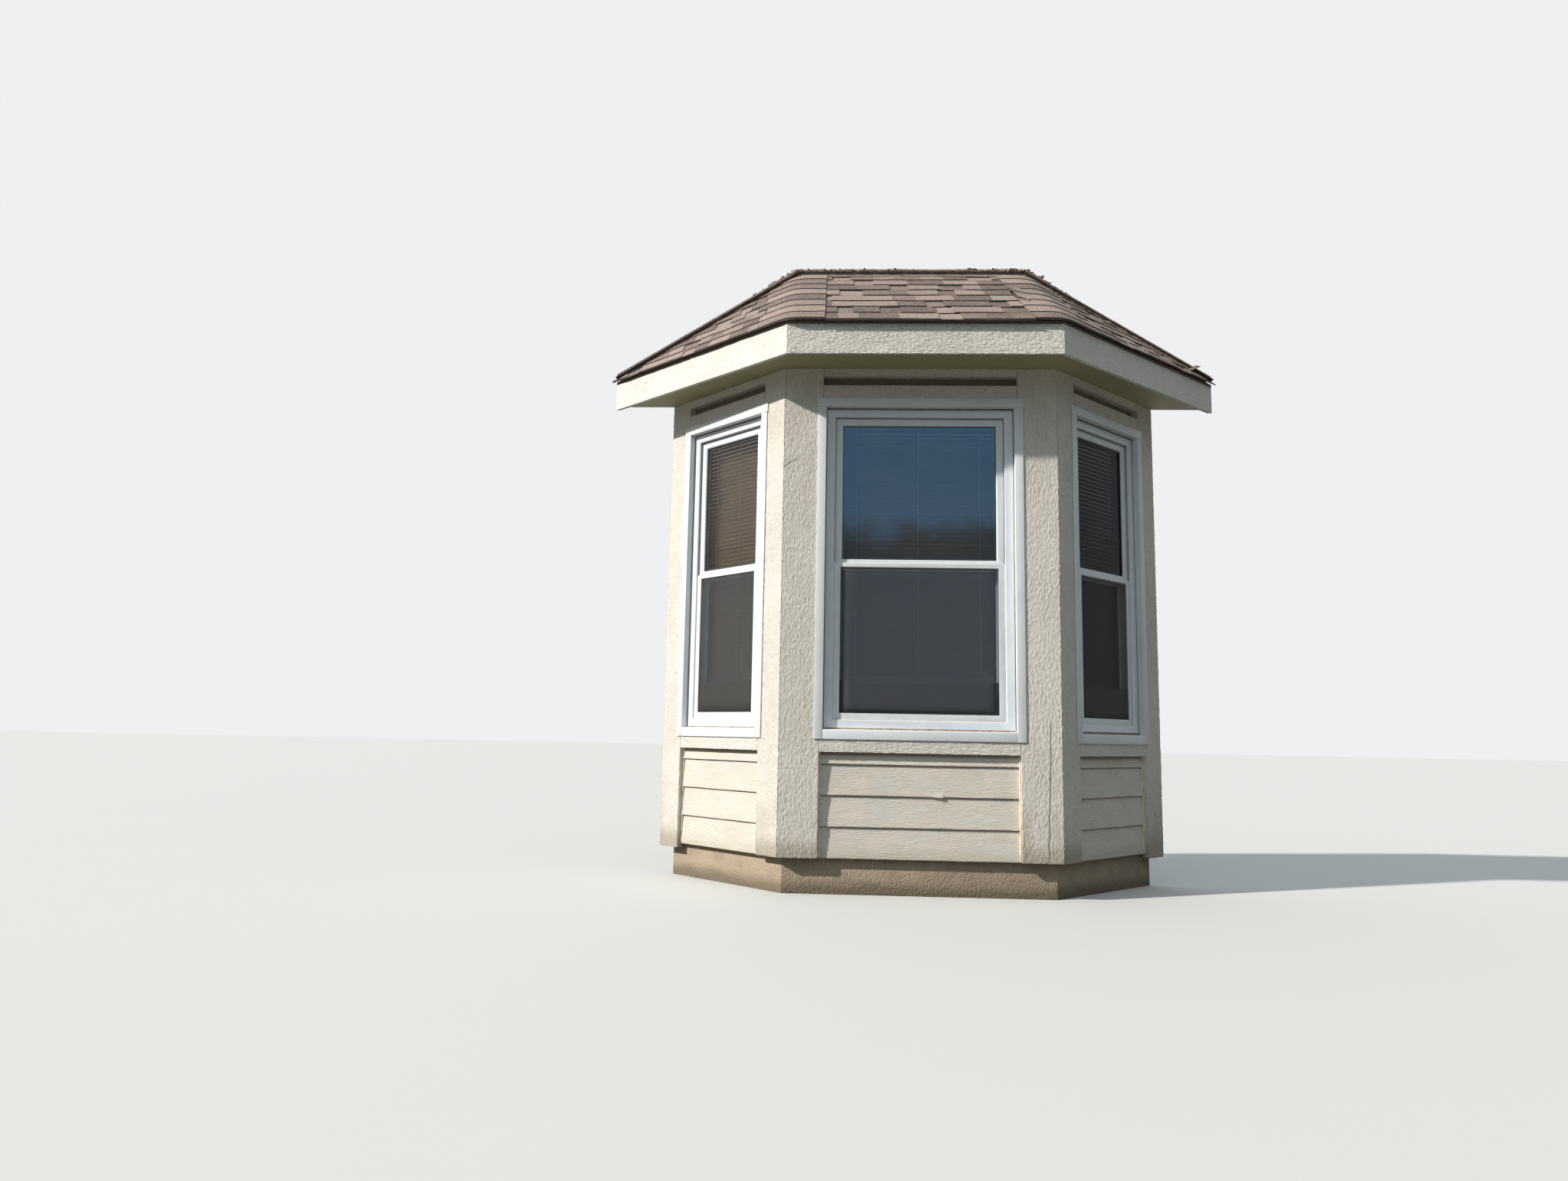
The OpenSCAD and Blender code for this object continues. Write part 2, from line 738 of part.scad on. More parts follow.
function course_profile(run, v0, lift) = concat(
    [[0, ridge_z + v0],
        [run * shingle_reach, ridge_z - roof_rise * shingle_reach + v0]],
    [for (i = [courses - 1:-1:0]) let (
        low = shingle_reach * (i + 1) / courses, high = shingle_reach * i / courses) each [
        [run * low, ridge_z - roof_rise * low + v0 + lift + butt_t],
        [run * high, ridge_z - roof_rise * high + v0 + lift + course_top_t]]]);

// Extrudes a section along the front slope or along the right slope
module front_slope(profile) {
    translate([-eave_wall_w / 2, wall_y, 0]) rotate([90, 0, 90])
        linear_extrude(eave_wall_w) polygon([for (p = profile) [-p[0], p[1]]]);
}

module right_slope(profile) {
    translate([ridge_half, wall_y, 0]) rotate([0, 0, eave_angle])
        translate([-eave_wall_w, 0, 0]) rotate([90, 0, 90]) linear_extrude(2 * eave_wall_w)
            polygon([for (p = profile) [-p[0], p[1]]]);
}

// Plan outlines of the two slopes down to a share u of the slope
function front_slope_plan(u) = [[-hip_x(0), wall_y], [-hip_x(u), slope_y(u)],
    [hip_x(u), slope_y(u)], [hip_x(0), wall_y]];
function right_slope_plan(u) = [[hip_x(0), wall_y], [hip_x(u), slope_y(u)], [verge_x(u), wall_y]];

roof_low_z = eave_z - clip;
roof_high_z = ridge_z + clip;

module roof_deck() {
    hip_gap = joint / 2;
    color("burlywood") union() {
        intersection() {
            front_slope(deck_profile(eave_depth, 0, deck_t, 1));
            plan_prism([[-hip_x(0) + hip_gap, wall_y], [-hip_x(1) + hip_gap, slope_y(1)],
                [hip_x(1) - hip_gap, slope_y(1)], [hip_x(0) - hip_gap, wall_y]],
                roof_low_z, roof_high_z);
        }
        for (m = [0, 1]) mirror([m, 0, 0]) intersection() {
            right_slope(deck_profile(side_run, 0, deck_t, 1));
            plan_prism([[hip_x(0) + hip_gap, wall_y], [hip_x(1) + hip_gap, slope_y(1)],
                [verge_x(1), wall_y]], roof_low_z, roof_high_z);
        }
    }
}

// Inner edge of the wrapped courses: upright on the left, slanting outwards on the right
function wrap_x(m, u) = m < 0 ? -hip_x(0) + wrap_w
    : hip_x(u) - wrap_w + u * (wrap_w - right_wrap_low_w);

module front_shingles() {
    r = shingle_reach;
    color("rosybrown") intersection() {
        front_slope(course_profile(eave_depth, deck_t, 0));
        plan_prism([[wrap_x(-1, 0), wall_y], [wrap_x(-1, r), slope_y(r)],
            [wrap_x(1, r), slope_y(r)], [wrap_x(1, 0), wall_y]], roof_low_z, roof_high_z);
    }
}

// The side courses, which wrap round the hip on to the front slope
module wrapped_courses(inner_top, inner_low) {
    r = shingle_reach;
    intersection() {
        right_slope(course_profile(side_run, deck_t, wrap_lift));
        plan_prism(right_slope_plan(r), roof_low_z, roof_high_z);
    }
    intersection() {
        front_slope(course_profile(eave_depth, deck_t, wrap_lift));
        plan_prism([[inner_top, wall_y], [inner_low, slope_y(r)],
            [hip_x(r), slope_y(r)], [hip_x(0), wall_y]], roof_low_z, roof_high_z);
    }
}

module right_shingles() {
    color("rosybrown") wrapped_courses(wrap_x(1, 0), wrap_x(1, shingle_reach));
}

module left_shingles() {
    color("rosybrown") mirror([1, 0, 0])
        wrapped_courses(-wrap_x(-1, 0), -wrap_x(-1, shingle_reach));
}

// Folded metal along the joint of the roof and the house wall
flash_t = 2;
flash_up = 30;
flash_out = 42;
flash_lift = deck_t + wrap_lift + butt_t;
flash_fall = flash_out * roof_rise / eave_depth;

module wall_flashing() {
    color("linen") union() {
        intersection() {
            front_slope([[0, ridge_z + flash_lift], [flash_out, ridge_z + flash_lift - flash_fall],
                [flash_out, ridge_z + flash_lift - flash_fall + flash_t],
                [flash_t, ridge_z + flash_lift + flash_t],
                [flash_t, ridge_z + flash_lift + flash_up], [0, ridge_z + flash_lift + flash_up]]);
            plan_prism([[-ridge_half, wall_y], [-ridge_half, wall_y - clip],
                [ridge_half, wall_y - clip], [ridge_half, wall_y]], roof_low_z, roof_high_z);
        }
        for (m = [0, 1]) mirror([m, 0, 0]) {
            low = verge_x(1);
            low_z = ridge_z - roof_rise + flash_lift;
            translate([0, wall_y, 0]) rotate([90, 0, 0]) linear_extrude(flash_out)
                polygon([[ridge_half, ridge_z + flash_lift], [low, low_z],
                    [low, low_z + flash_t], [ridge_half, ridge_z + flash_lift + flash_t]]);
            translate([0, wall_y, 0]) rotate([90, 0, 0]) linear_extrude(flash_t)
                polygon([[ridge_half, ridge_z + flash_lift], [low, low_z],
                    [low, low_z + flash_up], [ridge_half, ridge_z + flash_lift + flash_up]]);
        }
    }
}

foundation();
front_wall();
left_wall();
right_wall();
wall_lining();
ceiling();
left_front_corner_board();
left_side_corner_board();
right_front_corner_board();
right_side_corner_board();
left_wall_board();
right_wall_board();
frieze_boards();
header_boards();
apron_boards();
front_siding();
left_siding();
right_siding();
front_casing();
front_window_frame();
front_upper_sash();
front_lower_sash();
front_glass();
front_screen();
front_blind();
left_casing();
left_window_frame();
left_upper_sash();
left_lower_sash();
left_glass();
left_screen();
left_blind();
right_casing();
right_window_frame();
right_upper_sash();
right_lower_sash();
right_glass();
right_screen();
right_blind();
soffit();
front_fascia();
left_fascia();
right_fascia();
roof_frame();
roof_deck();
front_shingles();
left_shingles();
right_shingles();
wall_flashing();
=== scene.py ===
"""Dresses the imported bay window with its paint, shingles, glass, blinds and weathering.

All lengths are in metres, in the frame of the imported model: Z is up from the underside of the
foundation, X runs along the house wall and -Y points away from the house.
"""

from __future__ import annotations

import json
import logging
import math
from collections.abc import Callable, Sequence
from dataclasses import dataclass, field
from enum import Enum

import bmesh
import bpy
from mathutils import Matrix, Vector, noise
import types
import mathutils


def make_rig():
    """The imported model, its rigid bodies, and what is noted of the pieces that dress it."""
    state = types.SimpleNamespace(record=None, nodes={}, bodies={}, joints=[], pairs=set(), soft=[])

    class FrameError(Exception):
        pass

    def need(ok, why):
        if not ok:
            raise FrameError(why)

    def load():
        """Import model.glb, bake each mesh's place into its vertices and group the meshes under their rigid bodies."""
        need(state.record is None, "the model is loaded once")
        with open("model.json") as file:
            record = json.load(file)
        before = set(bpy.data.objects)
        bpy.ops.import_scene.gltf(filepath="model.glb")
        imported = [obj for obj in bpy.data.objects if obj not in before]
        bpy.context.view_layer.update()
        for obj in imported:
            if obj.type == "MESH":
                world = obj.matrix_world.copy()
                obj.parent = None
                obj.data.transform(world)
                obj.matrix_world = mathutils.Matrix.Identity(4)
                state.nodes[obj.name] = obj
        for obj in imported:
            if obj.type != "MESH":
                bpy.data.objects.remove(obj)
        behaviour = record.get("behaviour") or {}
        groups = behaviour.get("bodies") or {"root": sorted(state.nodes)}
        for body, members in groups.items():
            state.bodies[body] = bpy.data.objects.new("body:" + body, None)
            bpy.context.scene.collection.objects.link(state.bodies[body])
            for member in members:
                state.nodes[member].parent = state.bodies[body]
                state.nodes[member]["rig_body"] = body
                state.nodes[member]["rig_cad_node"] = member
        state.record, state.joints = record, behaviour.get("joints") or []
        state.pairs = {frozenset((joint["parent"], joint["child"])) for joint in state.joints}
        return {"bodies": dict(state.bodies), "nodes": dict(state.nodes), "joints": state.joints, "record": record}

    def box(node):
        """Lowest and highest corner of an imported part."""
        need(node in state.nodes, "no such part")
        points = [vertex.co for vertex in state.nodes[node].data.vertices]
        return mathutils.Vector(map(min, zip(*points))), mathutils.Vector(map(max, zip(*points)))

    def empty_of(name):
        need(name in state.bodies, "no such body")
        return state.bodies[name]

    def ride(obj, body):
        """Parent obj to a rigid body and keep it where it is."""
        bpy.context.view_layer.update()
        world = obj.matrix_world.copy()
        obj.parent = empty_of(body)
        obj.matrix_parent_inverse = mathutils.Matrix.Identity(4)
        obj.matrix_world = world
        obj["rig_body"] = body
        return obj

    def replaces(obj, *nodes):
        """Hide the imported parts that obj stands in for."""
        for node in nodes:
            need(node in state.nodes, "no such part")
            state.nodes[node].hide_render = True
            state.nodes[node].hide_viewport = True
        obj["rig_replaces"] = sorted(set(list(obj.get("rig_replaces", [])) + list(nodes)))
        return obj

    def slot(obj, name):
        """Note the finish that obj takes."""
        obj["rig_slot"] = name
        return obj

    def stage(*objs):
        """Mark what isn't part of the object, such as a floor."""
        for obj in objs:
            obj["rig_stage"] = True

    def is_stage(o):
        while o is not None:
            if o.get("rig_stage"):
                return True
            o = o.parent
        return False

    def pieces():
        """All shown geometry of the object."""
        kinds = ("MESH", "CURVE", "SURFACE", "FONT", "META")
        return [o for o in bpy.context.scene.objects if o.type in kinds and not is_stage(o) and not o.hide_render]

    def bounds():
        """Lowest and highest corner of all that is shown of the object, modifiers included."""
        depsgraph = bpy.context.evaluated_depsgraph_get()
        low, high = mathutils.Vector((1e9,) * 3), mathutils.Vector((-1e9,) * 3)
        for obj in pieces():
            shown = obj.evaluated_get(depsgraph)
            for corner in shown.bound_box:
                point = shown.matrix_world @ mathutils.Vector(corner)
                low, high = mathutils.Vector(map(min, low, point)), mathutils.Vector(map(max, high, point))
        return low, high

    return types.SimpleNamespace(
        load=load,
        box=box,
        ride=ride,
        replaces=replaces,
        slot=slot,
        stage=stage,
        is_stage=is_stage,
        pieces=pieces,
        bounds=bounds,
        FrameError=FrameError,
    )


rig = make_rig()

LOG = logging.getLogger("bay_window")
BMesh = bmesh.types.BMesh
Mesh = bpy.types.Mesh
Material = bpy.types.Material
Colour = tuple[float, float, float]
Pair = tuple[float, float]
Places = Sequence[Vector]
Plane = tuple[Vector, Vector]
Ends = tuple[Vector, Vector]
ToRoof = Callable[[float, float, float], Vector]
Number = "Value | float"

SIZE_FILE = "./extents.json"
MM = 0.001
SIDE_TURN = math.radians(45.0)
UP = Vector((0.0, 0.0, 1.0))
DOUBLES = 0.01 * MM
FLAT = math.radians(0.5)
SHARP = math.radians(25.0)


class Grain(Enum):
    """Which way the fibres of a board run."""

    UPRIGHT = "upright"
    LEVEL = "level"


class Edge(Enum):
    """How much the edges of a piece are rounded, in metres."""

    SAWN = 2.5 * MM
    PLANED = 1.6 * MM
    MOULDED = 0.8 * MM
    FINE = 0.15 * MM


# Node graphs


class Value:
    """One value of a node graph, so that maths on it reads as ordinary Python."""

    def __init__(self, graph: Graph, socket: bpy.types.NodeSocket) -> None:
        """Wraps an output socket of a graph's node."""
        self.graph = graph
        self.socket = socket

    def maths(self, operation: str, other: Number = 0.0, swap: bool = False) -> Value:
        """Adds a Math node on this value and another one, which swap puts first."""
        first, second = (other, self) if swap else (self, other)
        return self.graph.node("ShaderNodeMath", {"operation": operation}, {0: first, 1: second})

    def __add__(self, other: Number) -> Value:
        """Sum."""
        return self.maths("ADD", other)

    def __sub__(self, other: Number) -> Value:
        """Difference."""
        return self.maths("SUBTRACT", other)

    def __rsub__(self, other: Number) -> Value:
        """Difference with a number in front."""
        return self.maths("SUBTRACT", other, swap=True)

    def __mul__(self, other: Number) -> Value:
        """Product."""
        return self.maths("MULTIPLY", other)

    def __truediv__(self, other: Number) -> Value:
        """Quotient."""
        return self.maths("DIVIDE", other)

    __radd__ = __add__
    __rmul__ = __mul__

    def rises(self, low: float, high: float) -> Value:
        """A smooth step from 0 at low to 1 at high."""
        return self.graph.node("ShaderNodeMapRange", {"interpolation_type": "SMOOTHSTEP"},
                               {"Value": self, "From Min": low, "From Max": high})


class Graph:
    """A node tree, with one method that adds any node."""

    def __init__(self, tree: bpy.types.NodeTree) -> None:
        """Starts an empty graph in a tree."""
        self.tree = tree
        self.tree.nodes.clear()

    def node(self, kind: str, settings: dict[str, object] | None = None,
             inputs: dict[str | int, object] | None = None, output: str | int = 0) -> Value:
        """Adds a node.

        Args:
            kind: Blender's type name of the node.
            settings: The node's own settings, made first.
            inputs: Values or links of its sockets, by name or number.
            output: The output socket to return.

        Returns:
            The chosen output.
        """
        made = self.tree.nodes.new(kind)
        for name, setting in (settings or {}).items():
            setattr(made, name, setting)
        for key, given in (inputs or {}).items():
            links = given if isinstance(given, list) else [given]
            for link in links:
                if isinstance(link, Value):
                    self.tree.links.new(link.socket, made.inputs[key])
                else:
                    made.inputs[key].default_value = link
        return Value(self, made.outputs[output] if len(made.outputs) else None)

    def part(self, vector: Value, index: int) -> Value:
        """One of the three numbers of a vector."""
        return self.node("ShaderNodeSeparateXYZ", inputs={"Vector": vector}, output=index)


class ShaderGraph(Graph):
    """The node tree of a material, with the textures that the finishes share."""

    def __init__(self, name: str) -> None:
        """Makes a material and an empty graph in it.

        Args:
            name: The material's name.
        """
        self.material = bpy.data.materials.new(name)
        self.material.use_nodes = True
        super().__init__(self.material.node_tree)
        self.place = self.node("ShaderNodeTexCoord", output="Object")

    def height(self) -> Value:
        """Height over the ground."""
        return self.part(self.place, 2)

    def facing(self, index: int) -> Value:
        """One of the three numbers of the direction that the surface faces."""
        return self.part(self.node("ShaderNodeNewGeometry", output="Normal"), index)

    def stretched(self, turn: float, stretch: Sequence[float], shift: float = 0.0) -> Value:
        """Object coordinates turned about Z and stretched.

        Args:
            turn: Angle of the face in plan, in radians.
            stretch: Length of one texture unit along, into and up the face.
            shift: Moves the pattern along all axes.

        Returns:
            The new coordinates.
        """
        return self.node("ShaderNodeMapping", {"vector_type": "TEXTURE"}, {
            "Vector": self.place, "Location": (shift, shift, shift),
            "Rotation": (0.0, 0.0, turn), "Scale": tuple(stretch)})

    def noise(self, where: Value, scale: float, detail: float = 4.0, rough: float = 0.6,
              twist: float = 0.0) -> Value:
        """Cloudy noise between 0 and 1."""
        return self.node("ShaderNodeTexNoise", inputs={
            "Vector": where, "Scale": scale, "Detail": detail, "Roughness": rough, "Distortion": twist})

    def cells(self, where: Value, scale: float, output: str) -> Value:
        """Cell noise: the distance to the nearest point, or its colour."""
        return self.node("ShaderNodeTexVoronoi", None, {"Vector": where, "Scale": scale}, output)

    def blend(self, low: object, high: object, share: Number) -> Value:
        """Mixes two colours."""
        pair = {6 + i: c if isinstance(c, Value) else (*c, 1.0) for i, c in enumerate((low, high))}
        return self.node("ShaderNodeMix", {"data_type": "RGBA"}, {0: share, **pair}, output=2)

    def mottled(self, colour: Colour, dark: float, share: Value) -> Value:
        """A colour that goes over in places to a darker shade of itself."""
        return self.blend(colour, tuple(c * dark for c in colour), share)

    def layered(self, colour: Value, *layers: tuple[Colour, Value]) -> Value:
        """Lays other colours over one, each with its share.

        Args:
            colour: The lowest colour.
            *layers: Each colour and its share, from below.

        Returns:
            The result.
        """
        for over, share in layers:
            colour = self.blend(colour, over, share)
        return colour

    def bump(self, height: Value, depth: float, strength: float = 1.0) -> Value:
        """A bumped normal from a height between 0 and 1 and its real depth in metres."""
        return self.node("ShaderNodeBump", inputs={
            "Height": height, "Distance": depth, "Strength": strength})

    def attribute(self, name: str) -> Value:
        """A number that the mesh carries."""
        return self.node("ShaderNodeAttribute", {"attribute_name": name}, output="Fac")

    def shader(self, **inputs: object) -> Value:
        """Adds a Principled shader.

        Args:
            **inputs: Its sockets, with underscores for spaces.

        Returns:
            The shader.
        """
        named = {}
        for key, given in inputs.items():
            is_colour = isinstance(given, tuple) and len(given) == 3
            named[key.replace("_", " ")] = (*given, 1.0) if is_colour else given
        return self.node("ShaderNodeBsdfPrincipled", inputs=named)

    def ended(self, shader: Value) -> Material:
        """The finished material with this shader on its surface."""
        self.node("ShaderNodeOutputMaterial", inputs={"Surface": shader})
        return self.material

    def surface(self, **inputs: object) -> Material:
        """Ends the material in one Principled shader with these sockets."""
        return self.ended(self.shader(**inputs))


# Finishes


@dataclass(frozen=True)
class Finish:
    """A surface finish. Each kind builds its material once."""

    name: str

    def build(self) -> Material:
        """Makes the material."""
        raise NotImplementedError

    def material(self) -> Material:
        """The finish's material, made on first use."""
        return bpy.data.materials.get(self.name) or self.build()


@dataclass(frozen=True)
class Crack:
    """A split in a board, from one place on its face to another."""

    start: Pair
    end: Pair
    width: float = 2.6 * MM
    wander: float = 14.0 * MM

    def mask(self, g: ShaderGraph, along: Value, up: Value) -> Value:
        """Works out where the crack runs.

        Args:
            g: The material that it goes into.
            along: Place along the face.
            up: Height.

        Returns:
            1 in the crack and 0 beside it.
        """
        run = (self.end[0] - self.start[0], self.end[1] - self.start[1])
        length = math.hypot(*run)
        wobble = (g.noise(g.place, 9.0, 4.0) - 0.5) * self.wander
        off = ((along - self.start[0]) * (-run[1] / length)
               + (up - self.start[1]) * (run[0] / length) + wobble)
        share = ((along - self.start[0]) * run[0] + (up - self.start[1]) * run[1]) / length ** 2
        inside = share.rises(0.0, 0.06) * (1.0 - share.rises(0.9, 1.0))
        return (1.0 - off.maths("ABSOLUTE").rises(self.width * 0.3, self.width)) * inside


@dataclass(frozen=True)
class SawnPaint(Finish):
    """Old paint on rough-sawn boards: pebbly fibres, saw marks, cracks and a weathered foot."""

    grain: Grain = Grain.UPRIGHT
    turn: float = 0.0
    colour: Colour = (0.785, 0.735, 0.675)
    worn: Colour = (0.46, 0.40, 0.335)
    foot: Colour = (0.36, 0.31, 0.24)
    stain_colour: Colour = (0.66, 0.55, 0.44)
    split_colour: Colour = (0.10, 0.08, 0.06)
    roughness: float = 0.74
    relief: float = 2.6 * MM
    sawn_z: float = 1.9
    foot_z: float = 0.18
    hollow_darkening: float = 0.5
    cracks: tuple[Crack, ...] = ()

    def build(self) -> Material:
        """Makes the material.

        Returns:
            The material.
        """
        g = ShaderGraph(self.name)
        upright = self.grain is Grain.UPRIGHT

        def grown(across: float, along: float, shift: float) -> Value:
            """Places stretched along the grain."""
            size = (across, across, along) if upright else (along, across, across)
            return g.stretched(self.turn, size, shift)

        pebble = g.noise(grown(0.0066, 0.020, 0.0), 1.0, 3.0, 0.6, 0.4)
        fibre = g.noise(grown(0.0032, 0.085, 3.7), 1.0, 4.0, 0.65)
        saw = g.noise(grown(0.080, 0.0046, 7.1), 1.0, 2.0)
        patch = g.noise(g.place, 3.1, 4.0, 0.6)
        stain = g.noise(g.stretched(0.0, (0.16, 0.16, 0.5), 1.3), 1.0, 3.0)
        z = g.height()
        height = pebble * 0.55 + fibre * 0.45
        if upright:
            sawn = patch.rises(0.46, 0.6) * z.rises(self.sawn_z - 0.2, self.sawn_z + 0.1)
            height = height + (saw - 0.5) * sawn * 0.6
        # The colour is darker in the grooves of this height and in the hollows of the board's relief.
        hollow = 1.0 - height.rises(0.34, 0.48)
        deep = g.attribute("hollow").rises(0.45, 0.95)
        along = g.part(g.stretched(self.turn, (1.0, 1.0, 1.0)), 0)
        ragged = z + (fibre - 0.5) * 0.12 + (patch - 0.5) * 0.16
        at_foot = 1.0 - ragged.rises(self.foot_z, self.foot_z + 0.10)
        speck = 1.0 - g.noise(g.place, 160.0, 2.0).rises(0.24, 0.33)
        soiled = (1.0 - z.rises(self.foot_z, self.foot_z + 0.42)) * stain.rises(0.42, 0.66)
        paint = g.layered(
            g.mottled(self.colour, 0.92, patch.rises(0.42, 0.62)),
            (self.stain_colour, stain.rises(0.55, 0.8) * 0.45), (self.worn, hollow * 0.35),
            (self.worn, deep * self.hollow_darkening), (self.foot, speck * 0.35),
            (self.foot, soiled * 0.5), (self.foot, at_foot * 0.75))
        for crack in self.cracks:
            split = crack.mask(g, along, z)
            paint = g.blend(paint, self.split_colour, split * 0.85)
            height = height - split * 0.9
        return g.surface(Base_Color=paint, Roughness=self.roughness + hollow * 0.12,
                         Normal=g.bump(height + at_foot * saw * 0.5, self.relief))


@dataclass(frozen=True)
class LapPaint(Finish):
    """Paint on lap siding with an embossed wood grain that differs from board to board. Painted shade darkens the foot
    of each board, a painted shadow lies along its top under the butt above, and painted shade lies under the apron.
    """

    turn: float = 0.0
    colour: Colour = (0.745, 0.682, 0.61)
    worn: Colour = (0.48, 0.42, 0.335)
    stain_colour: Colour = (0.70, 0.575, 0.455)
    cool: Colour = (0.70, 0.68, 0.64)
    warm: Colour = (0.80, 0.69, 0.61)
    butt_shadow_colour: Colour = (0.16, 0.13, 0.10)
    apron_shade_colour: Colour = (0.15, 0.125, 0.095)
    first_z: float = 0.16
    last_z: float = 9.0
    lap: float = 0.1397
    ring: float = 8.5 * MM

    def build(self) -> Material:
        """Makes the material.

        Returns:
            The material.
        """
        g = ShaderGraph(self.name)
        z = g.height()
        course = ((z - self.first_z) / self.lap).maths("FLOOR")
        slide = g.node("ShaderNodeCombineXYZ", inputs={0: course * 7.3, 2: course * 3.1})
        flat = g.stretched(self.turn, (0.24, 0.24, 0.050))
        moved = g.node("ShaderNodeVectorMath", {"operation": "ADD"}, {0: flat, 1: slide})
        sweep = g.noise(moved, 1.0, 3.0, 0.5, 0.4)
        rings = ((z / self.ring + sweep * 9.0) * math.tau).maths("SINE") * 0.5 + 0.5
        shown = g.noise(moved, 2.3, 2.0).rises(0.34, 0.62)
        fine = g.noise(g.stretched(self.turn, (0.060, 0.01, 0.0026)), 1.0, 4.0, 0.65)
        pebble = g.noise(g.stretched(self.turn, (0.014, 0.01, 0.0045), 2.2), 1.0, 3.0)
        height = rings * shown * 0.2 + fine * 0.5 + pebble * 0.55
        # The colour is darker in the hollows of this grain and in the hollows of the embossed relief.
        hollow = 1.0 - height.rises(0.36, 0.60)
        patch = g.noise(g.place, 4.3, 4.0)
        within = (z - self.first_z - course * self.lap) / self.lap
        # Painted shade: the worn colour darkens the lowest tenth of each board.
        shade = 1.0 - within.rises(0.0, 0.10)
        # Painted shadow: a dark band along the top of each board, where the butt above casts its shadow.
        painted_butt_shadow = within.rises(0.955, 0.985)
        stain = g.noise(g.stretched(self.turn, (0.30, 0.30, 0.10), 4.0), 1.0, 4.0)
        tint = g.noise(g.stretched(self.turn, (0.16, 0.16, 0.07), 9.0), 1.0, 3.0)
        low = 1.0 - (z + (patch - 0.5) * 0.12).rises(self.first_z, self.first_z + 0.07)
        # Painted shade: a dark band at the top of the siding, under the apron board.
        under = (z + (patch - 0.5) * 0.01).rises(self.last_z - 0.020, self.last_z - 0.008)
        paint = g.layered(
            g.mottled(self.colour, 0.92, patch.rises(0.4, 0.65)),
            (self.stain_colour, stain.rises(0.5, 0.72) * 0.5),
            (self.cool, tint.rises(0.50, 0.62) * 0.6),
            (self.warm, (1.0 - tint.rises(0.36, 0.46)) * 0.6), (self.worn, hollow * 0.3),
            (self.worn, g.attribute("hollow").rises(0.5, 0.95) * 0.35),
            (self.worn, shade * patch * 0.35), (self.worn, low * 0.5),
            (self.butt_shadow_colour, painted_butt_shadow * 0.7), (self.apron_shade_colour, under * 0.7))
        return g.surface(Base_Color=paint, Roughness=0.68 + hollow * 0.12,
                         Normal=g.bump(height, 2.2 * MM))


@dataclass(frozen=True)
class SmoothPaint(Finish):
    """White paint on planed boards, with faint brush marks and dark specks."""

    colour: Colour = (0.79, 0.82, 0.855)
    dirt: Colour = (0.42, 0.37, 0.29)
    turn: float = 0.0

    def build(self) -> Material:
        """Makes the material.

        Returns:
            The material.
        """
        g = ShaderGraph(self.name)
        brush = g.noise(g.stretched(self.turn, (0.006, 0.006, 0.09)), 1.0, 3.0)
        patch = g.noise(g.place, 5.0, 5.0)
        specks = 1.0 - g.noise(g.place, 95.0, 2.0).rises(0.22, 0.31)
        paint = g.mottled(self.colour, 0.93, patch.rises(0.4, 0.7))
        paint = g.blend(paint, self.dirt, specks * 0.30)
        return g.surface(Base_Color=paint, Roughness=0.48 + brush * 0.12,
                         Normal=g.bump(brush * 0.6 + patch * 0.4, 0.35 * MM))


@dataclass(frozen=True)
class Vinyl(Finish):
    """White window vinyl, a little chalked, with tan dirt on what faces up."""

    colour: Colour = (0.775, 0.81, 0.86)
    dirt: Colour = (0.36, 0.28, 0.19)

    def build(self) -> Material:
        """Makes the material.

        Returns:
            The material.
        """
        g = ShaderGraph(self.name)
        chalk = g.noise(g.place, 9.0, 4.0)
        fine = g.noise(g.place, 240.0, 2.0)
        dirt = g.facing(2).rises(0.5, 0.95) * g.noise(g.place, 38.0, 4.0).rises(0.30, 0.62)
        body = g.mottled(self.colour, 0.94, chalk.rises(0.4, 0.7))
        body = g.blend(body, self.dirt, dirt * 0.8)
        return g.surface(Base_Color=body, Roughness=0.36 + chalk * 0.14 + dirt * 0.3,
                         Normal=g.bump(fine, 0.06 * MM))


@dataclass(frozen=True)
class Pane(Finish):
    """Window glass with a painted blue sky reflection that gives way down the upper pane to a painted dim reflection,
    and a little dust.
    """

    # The tint is much darker than clear glass: painted shade standing for the dark room behind.
    tint: Colour = (0.40, 0.43, 0.47)
    painted_reflection: Colour = (0.24, 0.59, 1.0)
    painted_low_reflection: Colour = (0.10, 0.15, 0.19)
    index: float = 1.9
    lower_z: Pair = (1.49, 1.51)
    fades: Pair = (1.60, 1.74)

    def build(self) -> Material:
        """Makes the material.

        Returns:
            The material.
        """
        g = ShaderGraph(self.name)
        dust = g.noise(g.place, 14.0, 5.0, 0.65)
        streak = g.noise(g.stretched(0.0, (0.02, 0.02, 0.30)), 1.0, 3.0)
        ripple = g.noise(g.place, 3.0, 1.0)
        z = g.height()
        # Painted reflection: a blue sky reflection above a ragged height, a dim one below it, and the blue one again
        # on the lower pane.
        drift = (g.noise(g.place, 5.0, 6.0, 0.62) - 0.5) * 0.30
        sky_reflection_share = (z + drift).rises(*self.fades).maths("MAXIMUM", 1.0 - z.rises(*self.lower_z))
        gloss = [g.shader(
            Base_Color=g.mottled(self.tint, 0.86, dust),
            Roughness=dust.rises(0.45, 0.9) * streak * 0.10 + 0.012,
            Specular_Tint=painted_reflection,
            Transmission_Weight=1.0,
            IOR=self.index,
            Normal=g.bump(ripple, 0.8 * MM, 0.25),
        ) for painted_reflection in (self.painted_low_reflection, self.painted_reflection)]
        return g.ended(g.node("ShaderNodeMixShader", inputs={0: sky_reflection_share, 1: gloss[0], 2: gloss[1]}))


